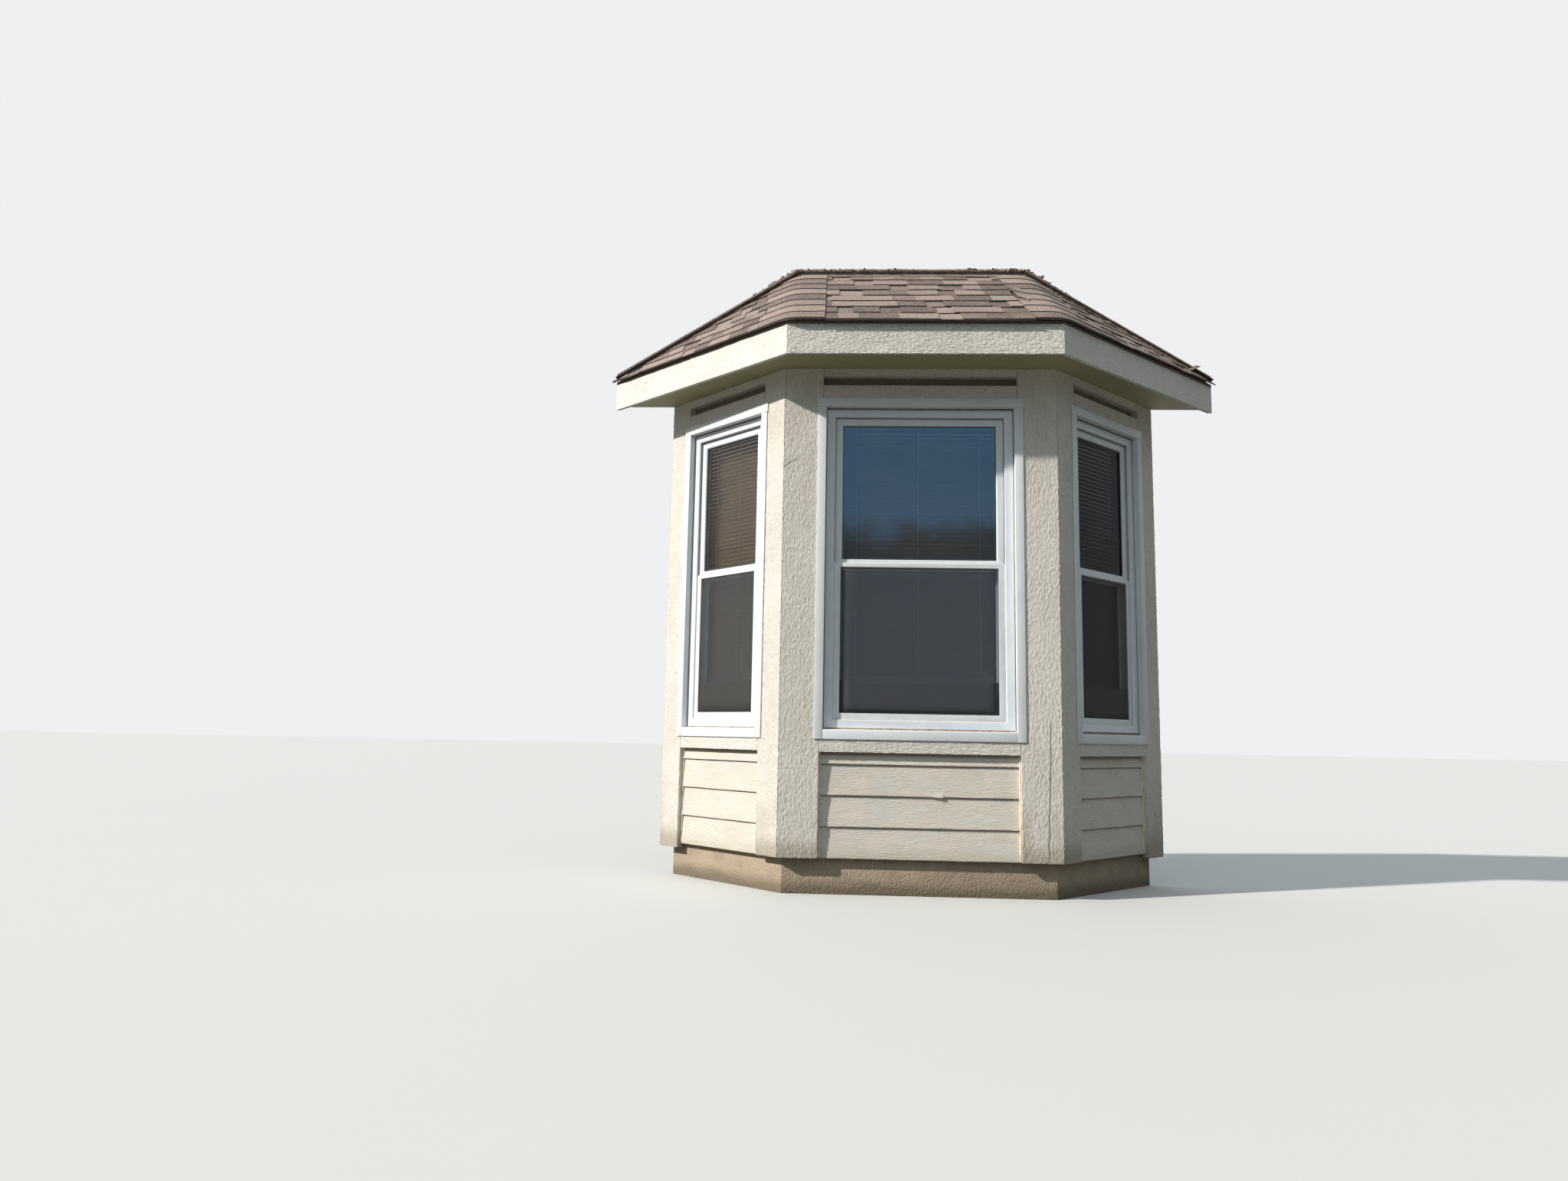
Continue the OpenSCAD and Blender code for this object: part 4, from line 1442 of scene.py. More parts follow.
@dataclass
class Litter:
    """Crumbs that have caught along the edges of the roof."""

    finish: Finish
    wall_y: float
    small: float = 3.0 * MM
    large: float = 12.0 * MM

    def tree(self) -> Growth:
        """Builds the tree that scatters flat crumbs of random size along lines, in patches.

        Returns:
            The tree.
        """
        g = Growth("Litter", {"Count": 60, "Spread": 0.01, "Small": 0.003, "Large": 0.012, "Seed": 5})
        seed = g.given("Seed")
        line = g.node("GeometryNodeMeshToCurve", inputs={"Mesh": g.given("Geometry")})
        points = g.node("GeometryNodeCurveToPoints", {"mode": "COUNT"},
                        {"Curve": line, "Count": g.given("Count")})
        spread = g.given("Spread")
        offset = g.vector(g.random(-2.0, 2.0, seed + 1) * spread,
                          g.random(-1.0, 1.0, seed + 2) * spread,
                          g.random(-0.6, 0.7, seed + 3) * spread)
        points = g.moved(points, offset)
        patch = g.node("ShaderNodeTexNoise", {"noise_dimensions": "4D"},
                       {"Scale": 13.0, "Detail": 3.0, "W": seed})
        points = g.node("GeometryNodeDeleteGeometry", inputs={
            "Geometry": points, "Selection": patch.maths("LESS_THAN", 0.47)})
        crumb = g.node("GeometryNodeMeshIcoSphere", inputs={"Radius": 1.0, "Subdivisions": 2})
        dents = g.node("ShaderNodeTexNoise", inputs={"Scale": 0.9, "Detail": 2.0})
        push = g.node("ShaderNodeVectorMath", {"operation": "SCALE"},
                      {0: g.node("GeometryNodeInputNormal"), "Scale": (dents - 0.5) * 2.4})
        crumb = g.moved(crumb, push)
        size = g.random(g.given("Small"), g.given("Large"), seed + 4)
        turn = g.node("FunctionNodeEulerToRotation", inputs={"Euler": g.vector(
            g.random(-1.0, 1.0, seed + 5), g.random(-1.0, 1.0, seed + 6),
            g.random(0.0, 6.2, seed + 7))})
        placed = g.node("GeometryNodeInstanceOnPoints", inputs={
            "Points": points, "Instance": crumb, "Rotation": turn,
            "Scale": g.vector(size, size * g.random(0.35, 0.9, seed + 8), size * 0.32)})
        g.finish(placed, self.finish.material())
        return g

    def lay(self, name: str, lines: Sequence[Places], count: int, spread: float, seed: int) -> None:
        """Scatters one kind of crumb.

        Args:
            name: Name of the piece.
            lines: The lines along which it lies.
            count: Crumbs along each line, before some are taken out.
            spread: How far they lie from the line.
            seed: Seed of their places.
        """
        mesh = self.tree().grow(lines_mesh(lines), {
            "Count": count, "Spread": spread, "Seed": seed, "Small": self.small, "Large": self.large})
        keep_inside(mesh, self.wall_y)
        soften(mesh, 60.0)
        publish(name, mesh, self.finish, "flashing")


# Boards and siding


@dataclass
class Boards:
    """The trim boards, the fascia and the soffit."""

    faces: dict[str, Face]
    fascia_top: float = 2.5 * MM
    fascia_rise: float = 3.5 * MM
    nail_sink: float = 0.6 * MM
    front_cracks: tuple[Crack, ...] = (
        Crack((0.594, 0.80), (0.571, 0.13), 3.2 * MM, 26.0 * MM),
        Crack((-0.650, 1.950), (-0.572, 2.001), 3.0 * MM, 8.0 * MM),
    )
    front_fascia_nails: tuple[Pair, ...] = ((0.051, 2.514), (0.086, 2.453))
    left_fascia_nails: tuple[Pair, ...] = ((1.038, 2.521), (1.042, 2.472), (0.990, 2.531))
    front_nails: tuple[Pair, ...] = ((0.478, 0.324), (0.486, 0.640), (-0.492, 0.610))
    left_nails: tuple[Pair, ...] = ((0.340, 1.136), (0.335, 0.690))
    left_cracks: tuple[Crack, ...] = (
        Crack((0.365, 1.928), (0.45, 1.958), 2.4 * MM, 8.0 * MM),
        Crack((0.374, 1.455), (0.398, 1.480), 2.0 * MM, 6.0 * MM),
    )

    def upright(self, node: str, face: Face, finish: Finish) -> None:
        """Replaces an upright board by a rough one."""
        mesh = SawnRelief().mesh(merged_copy(node), UP, -face.inward)
        publish(f"{node}.sawn", mesh, finish, "trim", [node])

    def build(self) -> None:
        """Dresses all boards."""
        front = self.faces["front"]
        for side in ("left", "right"):
            face = self.faces[side]
            upright = SawnPaint("sawn_paint_front_upright", cracks=self.front_cracks)
            turned = SawnPaint(f"sawn_paint_{side}_upright", turn=face.turn,
                               cracks=self.left_cracks if side == "left" else ())
            self.upright(f"{side}_front_corner_board", front, upright)
            self.upright(f"{side}_side_corner_board", face, turned)
            self.upright(f"{side}_wall_board", face, turned)
        level = SawnRelief(pebble=(7.0 * MM, 24.0 * MM), worn=1.2 * MM)
        for node in ("frieze_boards", "header_boards", "apron_boards"):
            for index, name in enumerate(("left", "front", "right")):
                face = self.faces[name]
                mesh = level.mesh(loose_solid(node, index), face.along, -face.inward)
                finish = SawnPaint(f"sawn_paint_{name}_level", Grain.LEVEL, face.turn)
                publish(f"{name}_{node}", mesh, finish, "trim", [node])
        self.fascia()
        # Painted light: the soffit's dark olive colour stands for its shade and for the green light thrown up under
        # the eaves.
        paint_node("soffit", PlainMatter("soffit_paint", (0.41, 0.37, 0.215), (0.36, 0.325, 0.18),
                                         3.0, 0.62, 0.25 * MM))
        self.nails()

    def nails(self) -> None:
        """Sets the nail heads that show on the fascia and the boards."""
        front, left = self.faces["front"], self.faces["left"]
        low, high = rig.box("left_fascia")
        corner = Vector((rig.box("front_fascia")[0].x, low.y, 0.0))
        way = (Vector((low.x, high.y, 0.0)) - corner).normalized()
        out = Vector((way.y, -way.x, 0.0))
        spots = [(Vector((x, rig.box("front_fascia")[0].y, z)), Vector((0.0, -1.0, 0.0)))
                 for x, z in self.front_fascia_nails]
        spots += [(corner + way * s + UP * z, out if out.y < 0.0 else -out)
                  for s, z in self.left_fascia_nails]
        spots += [(front.point(x, 0.0, z), -front.inward) for x, z in self.front_nails]
        spots += [(left.point(x, 0.0, z), -left.inward) for x, z in self.left_nails]
        sunk = [(place - facing * self.nail_sink, facing) for place, facing in spots]
        NailHeads().build("board_nails", "trim", sunk)

    def fascia(self) -> None:
        """Dresses the fascia boards, which run along the eaves."""
        low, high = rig.box("right_fascia")
        front_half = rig.box("front_fascia")[1].x
        turn = math.atan2(high.y - low.y, high.x - front_half)
        turns = {"front": 0.0, "left": -turn, "right": turn}
        for name, angle in turns.items():
            depth, hollow_darkening = (2.8 * MM, 0.9) if name == "front" else (1.3 * MM, 0.3)
            relief = SawnRelief(along=4.6 * MM, depth=depth, pebble=(7.0 * MM, 20.0 * MM),
                                worn=1.2 * MM)
            paint = SawnPaint(f"fascia_paint_{name}", grain=Grain.LEVEL, turn=angle,
                              colour=(0.83, 0.80, 0.745), worn=(0.48, 0.43, 0.35),
                              relief=depth + 0.2 * MM, foot_z=-1.0, hollow_darkening=hollow_darkening)
            way = Vector((math.cos(angle), math.sin(angle), 0.0))
            node = f"{name}_fascia"
            mesh = relief.mesh(merged_copy(node), way, Vector((way.y, -way.x, 0.0)))
            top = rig.box(node)[1].z - self.fascia_top
            for vert in mesh.vertices:
                vert.co.z += self.fascia_rise if vert.co.z > top else 0.0
            publish(f"{node}.sawn", mesh, paint, "fascia", [node])


@dataclass
class LapSiding:
    """The lap boards under each window, with wavy lower edges and an embossed grain."""

    faces: dict[str, Face]
    lap: float = 0.1397
    butt: float = 17.0 * MM
    top: float = 8.5 * MM
    step: float = 8.0 * MM
    rise: float = 3.0 * MM
    sway: float = 1.8 * MM
    chamfer: float = 1.6 * MM
    curl_drop: float = 5.0 * MM
    curl_out: float = 4.5 * MM
    curl_reach: float = 24.0 * MM
    emboss: float = 1.0 * MM
    ring: float = 10.5 * MM
    knots: tuple[tuple[str, float, float], ...] = (
        ("front", -0.342, 0.382), ("left", 0.11, 0.52), ("right", -0.13, 0.35))
    curled: tuple[tuple[str, float, float, float], ...] = (("front", 0.050, 0.106, 0.439),)

    def grain(self, face: Face, x: float, z: float, course: int) -> float:
        """Works out how deep the embossed grain lies at a place.

        Args:
            face: The face of the bay.
            x: Place along it.
            z: Height.
            course: Number of the course from below.

        Returns:
            0 on a crest to 1 in a groove.
        """
        own = course * 7.3 + face.turn * 11.0
        sweep = swell(x * 4.2, z * 17.0, own)
        ripple = swell(x * 19.0, z * 60.0, own + 5.0)
        rings = 0.5 + 0.5 * math.sin(math.tau * (z / self.ring + 2.1 * sweep + 0.35 * ripple))
        shown = min(1.0, max(0.0, 0.35 + 1.5 * swell(x * 9.0, z * 30.0, own + 9)))
        pebble = 0.5 + 0.8 * swell(x * 48.0, z * 170.0, own)
        level = rings * shown * 0.5 + min(1.0, max(0.0, pebble)) * 0.5
        for name, knot_x, knot_z in self.knots:
            if name == face.name:
                far = math.hypot((x - knot_x) / 0.017, (z - knot_z) / 0.011)
                level *= min(1.0, max(0.0, far - 0.4))
        return level

    def curl(self, face: Face, x: float, z: float) -> float:
        """Works out how far a broken lower edge has curled out at a place.

        Args:
            face: The face of the bay.
            x: Place along it.
            z: Height of the edge.

        Returns:
            0 where it lies flat to 1 at its end.
        """
        for name, start, end, edge_z in self.curled:
            if name == face.name and abs(z - edge_z) < 0.02 and start <= x <= end:
                return (x - start) / (end - start)
        return 0.0

    def board(self, bm: BMesh, face: Face, low: Vector, high: Vector,
              z: float, course: int) -> list[float]:
        """Adds one lap board as a closed solid.

        Args:
            bm: The mesh it goes into.
            face: The face of the bay.
            low: Lowest corner of the siding in the face's places.
            high: Highest corner of the siding.
            z: Height of the board's lower edge.
            course: Number of the course from below.

        Returns:
            How deep each of its vertices lies, between 0 and 1.
        """
        top_z = min(z + self.lap, high.z)
        back = high.y
        count = max(2, round((high.x - low.x) / self.step))
        levels = max(4, round((top_z - z) / self.rise))
        rings, hollows = [], []
        for i in range(count + 1):
            x = low.x + (high.x - low.x) * i / count
            wave = swell(x * 6.0 + course * 9.1, face.turn * 5.0, 0.3)
            chip = swell(x * 41.0, course * 3.3, face.turn)
            curl = self.curl(face, x, z)
            lift = (0.5 + 0.4 * wave + 0.1 * chip) * self.sway - curl * self.curl_drop
            outer = back - self.butt
            section = [(back, z + lift), (outer + self.chamfer, z + lift)]
            hollows += [0.0, 0.0]
            for k in range(levels + 1):
                share = k / levels
                h = z + lift + self.chamfer + (top_z - z - lift - self.chamfer) * share
                level = self.grain(face, x, h, course)
                hollows.append(level)
                bent = curl * self.curl_out * max(0.0, 1.0 - (h - z) / self.curl_reach)
                section.append((outer + (self.butt - self.top) * share + level * self.emboss - bent, h))
            section.append((back, top_z))
            hollows.append(0.0)
            rings.append([bm.verts.new(face.point(x, d, h)) for d, h in section])
        skin(bm, rings)
        bm.faces.new(rings[0])
        bm.faces.new(list(reversed(rings[-1])))
        return hollows

    def build(self) -> None:
        """Builds the boards of the three faces."""
        gun = CaulkGun(PlainMatter("painted_caulk", (0.80, 0.73, 0.60), (0.70, 0.61, 0.47), 26.0,
                                   0.6, 0.6 * MM), "siding", 0.7)
        for name, face in self.faces.items():
            node = f"{name}_siding"
            low, high = face.box(node)
            bm = bmesh.new()
            z, course = low.z, 0
            hollows = []
            while z < high.z - 5.0 * MM:
                hollows += self.board(bm, face, low, high, z, course)
                z += self.lap
                course += 1
            outwards(bm)
            mesh = mesh_of(bm, 50.0)
            keep_hollows(mesh, hollows)
            finish = LapPaint(f"lap_paint_{name}", turn=face.turn, last_z=high.z)
            publish(f"{name}_lap_boards", mesh, finish, "siding", [node])
            depth = high.y - 0.8 * self.butt
            for end, x in (("left", low.x + 3.0 * MM), ("right", high.x - 3.0 * MM)):
                gun.lay(f"{name}_bead_{end}", [face.point(x, depth, low.z + 6.0 * MM),
                                               face.point(x, depth, high.z)], 5.5 * MM)


# Windows


@dataclass
class BlindShop:
    """Slatted blinds with their rails, ladder cords and tassels."""

    pitch: float = 21.0 * MM
    slat: float = 25.0 * MM
    tilt: float = math.radians(68.0)
    cord: float = 1.2 * MM
    rail: float = 24.0 * MM
    ladders: tuple[float, ...] = (1 / 6, 1 / 2, 5 / 6)
    button: float = 16.0 * MM
    slat_finish: Finish = SlatPaint("blind_slats")
    # The rails are painted paler than the slats: painted light, standing for the light that falls on them.
    rail_finish: Finish = PlainMatter(
        "blind_rails", (0.80, 0.63, 0.44), (0.72, 0.55, 0.38), 8.0, 0.4, 0.1 * MM)
    cord_finish: Finish = PlainMatter(
        "blind_cords", (0.84, 0.80, 0.72), (0.76, 0.71, 0.62), 40.0, 0.8, 0.1 * MM)

    def slats(self) -> Growth:
        """Builds the tree that stacks curved slats on a column of points.

        Returns:
            The tree.
        """
        g = Growth("Blind slats", {"Width": 0.8, "Slat": 25.0 * MM, "Crown": 2.2 * MM,
                                   "Tilt": 1.19, "Seed": 7})
        strip = g.node("GeometryNodeMeshGrid", inputs={
            "Size X": g.given("Width"), "Size Y": g.given("Slat"), "Vertices X": 2, "Vertices Y": 9})
        share = g.part(g.node("GeometryNodeInputPosition"), 1) / g.given("Slat") * 2.0
        crown = (1.0 - share * share) * g.given("Crown")
        strip = g.moved(strip, g.vector(0.0, 0.0, crown))
        strip = g.marked(strip, "rim", "POINT", share.maths("ABSOLUTE").maths("GREATER_THAN", 0.9))
        under = g.node("GeometryNodeFlipFaces", inputs={"Mesh": strip})
        over = g.node("GeometryNodeExtrudeMesh", inputs={
            "Mesh": strip, "Offset Scale": 0.35 * MM, "Individual": False})
        strip = g.node("GeometryNodeJoinGeometry", inputs={"Geometry": [over, under]})
        strip = g.node("GeometryNodeMergeByDistance", inputs={"Geometry": strip, "Distance": DOUBLES})
        lean = g.given("Tilt") + g.random(-0.03, 0.03, g.given("Seed"))
        turn = g.node("FunctionNodeEulerToRotation", inputs={"Euler": g.vector(lean, 0.0, 0.0)})
        placed = g.node("GeometryNodeInstanceOnPoints", inputs={
            "Points": g.given("Geometry"), "Instance": strip, "Rotation": turn})
        g.finish(placed, self.slat_finish.material())
        return g

    def rod(self, bm: BMesh, face: Face, x: float, d: float,
            z1: float, z2: float, radius: float, foot: float = 1.0) -> None:
        """Adds an upright round rod.

        Args:
            bm: The mesh it goes into.
            face: The face of the bay.
            x: Its place along the face.
            d: Its place inwards.
            z1: Height of its foot.
            z2: Height of its top.
            radius: Its radius.
            foot: How many times as thick it is at its foot.
        """
        made = bmesh.ops.create_cone(bm, cap_ends=True, segments=8, radius1=radius * foot,
                                     radius2=radius, depth=z2 - z1)
        middle = face.point(x, d, (z1 + z2) / 2.0)
        bmesh.ops.translate(bm, verts=made["verts"], vec=middle)

    def build(self, face: Face) -> None:
        """Builds the blind of one window in the room of its node.

        Args:
            face: The window's face.
        """
        node = f"{face.name}_blind"
        low, high = face.box(node)
        width = high.x - low.x
        depth = high.y - low.y
        middle = (low.y + high.y) / 2.0
        rail_z, head_z = low.z + self.rail, high.z - self.rail
        first, last = rail_z + 0.4 * self.pitch, head_z - 0.3 * self.pitch
        count = round((last - first) / self.pitch)
        column = [Vector((0.0, 0.0, first + i * (last - first) / count)) for i in range(count + 1)]
        mesh = self.slats().grow(points_mesh(column), {
            "Width": width - 6.0 * MM, "Slat": self.slat, "Tilt": self.tilt})
        mesh.transform(Matrix.Translation((0.0, middle, 0.0)))
        mesh.transform(face.matrix())
        soften(mesh, 50.0)
        publish(f"{face.name}_blind_slats", mesh, self.slat_finish, "blind", [node])
        rails = bmesh.new()
        add_block(rails, face, (low.x, low.y, head_z), high)
        add_block(rails, face, (low.x, low.y + 0.1 * depth, low.z),
                  (high.x, high.y - 0.1 * depth, rail_z))
        publish(f"{face.name}_blind_rails", rounded(rails, Edge.MOULDED),
                self.rail_finish, "blind", [node])
        cords = bmesh.new()
        half = self.slat * math.cos(self.tilt) / 2.0 + 1.2 * MM
        places = [low.x + width * share for share in self.ladders]
        for x in places:
            for d in (middle - half, middle + half):
                self.rod(cords, face, x, d, low.z + self.rail / 2, high.z - self.rail / 2, self.cord)
        for x in places:
            self.rod(cords, face, x, middle - half, rail_z, rail_z + self.button, 2.2 * MM, 1.6)
        publish(f"{face.name}_blind_cords", mesh_of(cords, 35.0), self.cord_finish, "blind", [node])


@dataclass
class WindowShop:
    """The frames, sashes, panes and screens of the three windows."""

    faces: dict[str, Face]
    spacer: float = 11.0 * MM
    covered: float = 10.0 * MM
    lip: float = 54.0 * MM
    foot_joint: dict[str, float] = field(default_factory=lambda: {
        "front": 6.5 * MM, "left": 5.0 * MM, "right": 10.0 * MM})
    side_joint: float = 4.2 * MM
    head_joint: float = 8.0 * MM
    hidden: float = 7.8 * MM
    seal: float = 4.6 * MM
    screen_bar: float = 38.0 * MM
    screen_top_bar: float = 20.0 * MM
    vinyl: Finish = Vinyl("window_vinyl")
    # Per face, the glass tint is painted shade for the dark room behind, darkest on the shaded right face, and the
    # reflection tint and index give painted reflections.
    panes: dict[str, Finish] = field(default_factory=lambda: {
        "front": Pane("front_pane"),
        "left": Pane("left_pane", (0.52, 0.50, 0.46), (0.50, 0.52, 0.55),
                     (0.32, 0.33, 0.34), 1.42),
        "right": Pane("right_pane", (0.10, 0.115, 0.13), (0.07, 0.10, 0.13),
                      (0.12, 0.15, 0.18), 1.16)})
    # Colour of the painted shade at the foot of each screen's mesh.
    mesh_foot: dict[str, Colour] = field(default_factory=lambda: {
        "front": (0.030, 0.035, 0.042), "left": (0.046, 0.043, 0.041), "right": (0.030, 0.032, 0.035)})
    bars: Finish = PlainMatter(
        "screen_bars", (0.765, 0.79, 0.825), (0.71, 0.735, 0.77), 12.0, 0.38, 0.1 * MM)
    spacers: Finish = PlainMatter(
        "pane_spacers", (0.40, 0.41, 0.42), (0.33, 0.34, 0.35), 30.0, 0.45, 0.1 * MM, 0.3)
    gaskets: Finish = PlainMatter(
        "pane_gaskets", (0.030, 0.031, 0.034), (0.05, 0.05, 0.052), 30.0, 0.6, 0.1 * MM)
    # Dark colour of the dirt in the frame's joints, also used as painted shade.
    joints: Finish = PlainMatter(
        "joint_dirt", (0.15, 0.13, 0.105), (0.25, 0.215, 0.17), 22.0, 0.8, 0.4 * MM)
    sills: Finish = PlainMatter(
        "sill_dirt", (0.42, 0.31, 0.20), (0.20, 0.15, 0.10), 34.0, 0.85, 0.8 * MM)

    def ring(self, bm: BMesh, face: Face, low: Sequence[float],
             high: Sequence[float], bar: float, top_bar: float = 0.0) -> None:
        """Adds a flat closed ring in a face between two corners.

        Args:
            bm: The mesh it goes into.
            face: The face of the bay.
            low: Its lowest corner in the face's places.
            high: Its highest corner.
            bar: Width of its bars.
            top_bar: Height of its top bar, if that differs.
        """
        x1, d1, z1 = low
        x2, d2, z2 = high
        top = z2 - (top_bar or bar)
        outer = [(x1, z1), (x2, z1), (x2, z2), (x1, z2)]
        inner = [(x1 + bar, z1 + bar), (x2 - bar, z1 + bar), (x2 - bar, top), (x1 + bar, top)]
        loops = [[bm.verts.new(face.point(x, d, z)) for x, z in outline]
                 for outline, d in ((outer, d1), (inner, d1), (inner, d2), (outer, d2))]
        skin(bm, [*loops, loops[0]])

    def screen(self, face: Face) -> None:
        """Splits the screen into its bars and its mesh.

        Args:
            face: The window's face.
        """
        node = f"{face.name}_screen"
        low, high = face.box(node)
        bar, top_bar = self.screen_bar, self.screen_top_bar
        frame = bmesh.new()
        self.ring(frame, face, low, high, bar, top_bar)
        outwards(frame)
        publish(f"{face.name}_screen_bars", rounded(frame, Edge.MOULDED), self.bars, "screen", [node])
        sheet_d = high.y - 2.6 * MM
        steps_x, steps_z = 12, 14
        tuck = 3.0 * MM
        x1, x2 = low.x + bar - tuck, high.x - bar + tuck
        z1, z2 = low.z + bar - tuck, high.z - top_bar + tuck
        sheet = bmesh.new()
        fronts, backs = {}, {}
        for j in range(steps_z + 1):
            for i in range(steps_x + 1):
                x, z = x1 + (x2 - x1) * i / steps_x, z1 + (z2 - z1) * j / steps_z
                slack = swell(x * 4.0, z * 3.0, face.turn) * 1.6 * MM
                free = math.sin(math.pi * i / steps_x) * math.sin(math.pi * j / steps_z)
                depth = sheet_d + free * slack
                fronts[j, i] = sheet.verts.new(face.point(x, depth, z))
                backs[j, i] = sheet.verts.new(face.point(x, depth + 0.5 * MM, z))
        for grid in (fronts, backs):
            for j in range(steps_z):
                for i in range(steps_x):
                    sheet.faces.new((grid[j, i], grid[j, i + 1], grid[j + 1, i + 1], grid[j + 1, i]))
        loop = [(0, i) for i in range(steps_x)] + [(j, steps_x) for j in range(steps_z)]
        loop += [(steps_z, i) for i in range(steps_x, 0, -1)]
        loop += [(j, 0) for j in range(steps_z, 0, -1)]
        for a, b in zip(loop, loop[1:] + loop[:1]):
            sheet.faces.new((fronts[a], fronts[b], backs[b], backs[a]))
        outwards(sheet)
        for side in sheet.faces:
            side.smooth = abs(side.normal.dot(face.inward)) > 0.5
        finish = InsectMesh(f"insect_mesh_{face.name}", foot_shade_colour=self.mesh_foot[face.name])
        publish(f"{face.name}_screen_mesh", mesh_of(sheet), finish, "screen", [node])

    def spacer_rings(self, face: Face) -> None:
        """Adds the spacer band and the seal that show round each pane.

        Args:
            face: The window's face.
        """
        back = face.matrix().inverted()
        bm = bmesh.new()
        bm.from_mesh(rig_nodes()[f"{face.name}_glass"].data)
        bmesh.ops.remove_doubles(bm, verts=bm.verts, dist=DOUBLES)
        rings, seals = bmesh.new(), bmesh.new()
        for group in islands(bm):
            low, high = extent([back @ v.co for v in group])
            for made, edge, d1, d2, bar in (
                    (rings, self.hidden, high.y + 0.3 * MM, high.y + 4.0 * MM, self.spacer),
                    (seals, self.hidden - MM, low.y - 1.6 * MM, low.y - 0.2 * MM, self.seal)):
                self.ring(made, face, (low.x + edge, d1, low.z + edge),
                          (high.x - edge, d2, high.z - edge), bar)
        bm.free()
        for name, made, finish in (("pane_spacers", rings, self.spacers),
                                   ("pane_gaskets", seals, self.gaskets)):
            outwards(made)
            publish(f"{face.name}_{name}", rounded(made, Edge.FINE), finish, "vinyl")

    def joint_lines(self, face: Face) -> None:
        """Adds dark strips round the frame, which are dirt in its joints and painted shade, the sill's dirt, and
        painted shade in the gap at the sashes.

        Args:
            face: The window's face.
        """
        low, high = face.box(f"{face.name}_window_frame")
        sash = face.box(f"{face.name}_upper_sash")[0].y
        x1, x2 = low.x + self.covered, high.x - self.covered
        z1, z2 = low.z + self.covered, high.z - self.covered
        front, back = low.y - 0.5 * MM, low.y + 0.3 * MM
        side, head, foot = self.side_joint, self.head_joint, self.foot_joint[face.name]
        dark = bmesh.new()
        add_block(dark, face, (x1 - MM, front, z1), (x1 + side, back, z2))
        add_block(dark, face, (x2 - side, front, z1), (x2 + MM, back, z2))
        add_block(dark, face, (x1, front - 0.2 * MM, z2 - head), (x2, back, z2 + MM))
        # Painted shade: dark strips in the gap between the frame's lip and the sashes.
        lip = self.lip - self.covered
        seen = (face.box(f"{face.name}_screen")[1].z, z2 - lip)
        for x in (x1 + lip + 1.2 * MM, x2 - lip - 1.2 * MM):
            add_block(dark, face, (x - 1.4 * MM, sash - 0.4 * MM, seen[0]),
                      (x + 1.4 * MM, sash + 0.3 * MM, seen[1]))
        add_block(dark, face, (x1 + lip, sash - 0.4 * MM, seen[1] - 3.0 * MM),
                  (x2 - lip, sash + 0.3 * MM, seen[1] + 0.5 * MM))
        publish(f"{face.name}_joint_lines", rounded(dark, Edge.FINE), self.joints, "vinyl")
        sill = bmesh.new()
        add_block(sill, face, (x1, front - 0.4 * MM, z1 - MM), (x2, back, z1 + foot))
        # On the right, the dark joint colour is painted shade in the slot under the frame.
        publish(f"{face.name}_sill_dirt", rounded(sill, Edge.FINE),
                self.joints if face.name == "right" else self.sills, "vinyl")

    def build(self) -> None:
        """Dresses the three windows."""
        blinds = BlindShop()
        for name, face in self.faces.items():
            casing = SmoothPaint(f"casing_paint_{name}", turn=face.turn)
            dress_copy(f"{name}_casing", casing, "casing", Edge.PLANED)
            for part in ("window_frame", "upper_sash", "lower_sash"):
                dress_copy(f"{name}_{part}", self.vinyl, "vinyl", Edge.MOULDED)
            paint_node(f"{name}_glass", self.panes[name])
            self.spacer_rings(face)
            self.joint_lines(face)
            self.screen(face)
            blinds.build(face)


# Roof


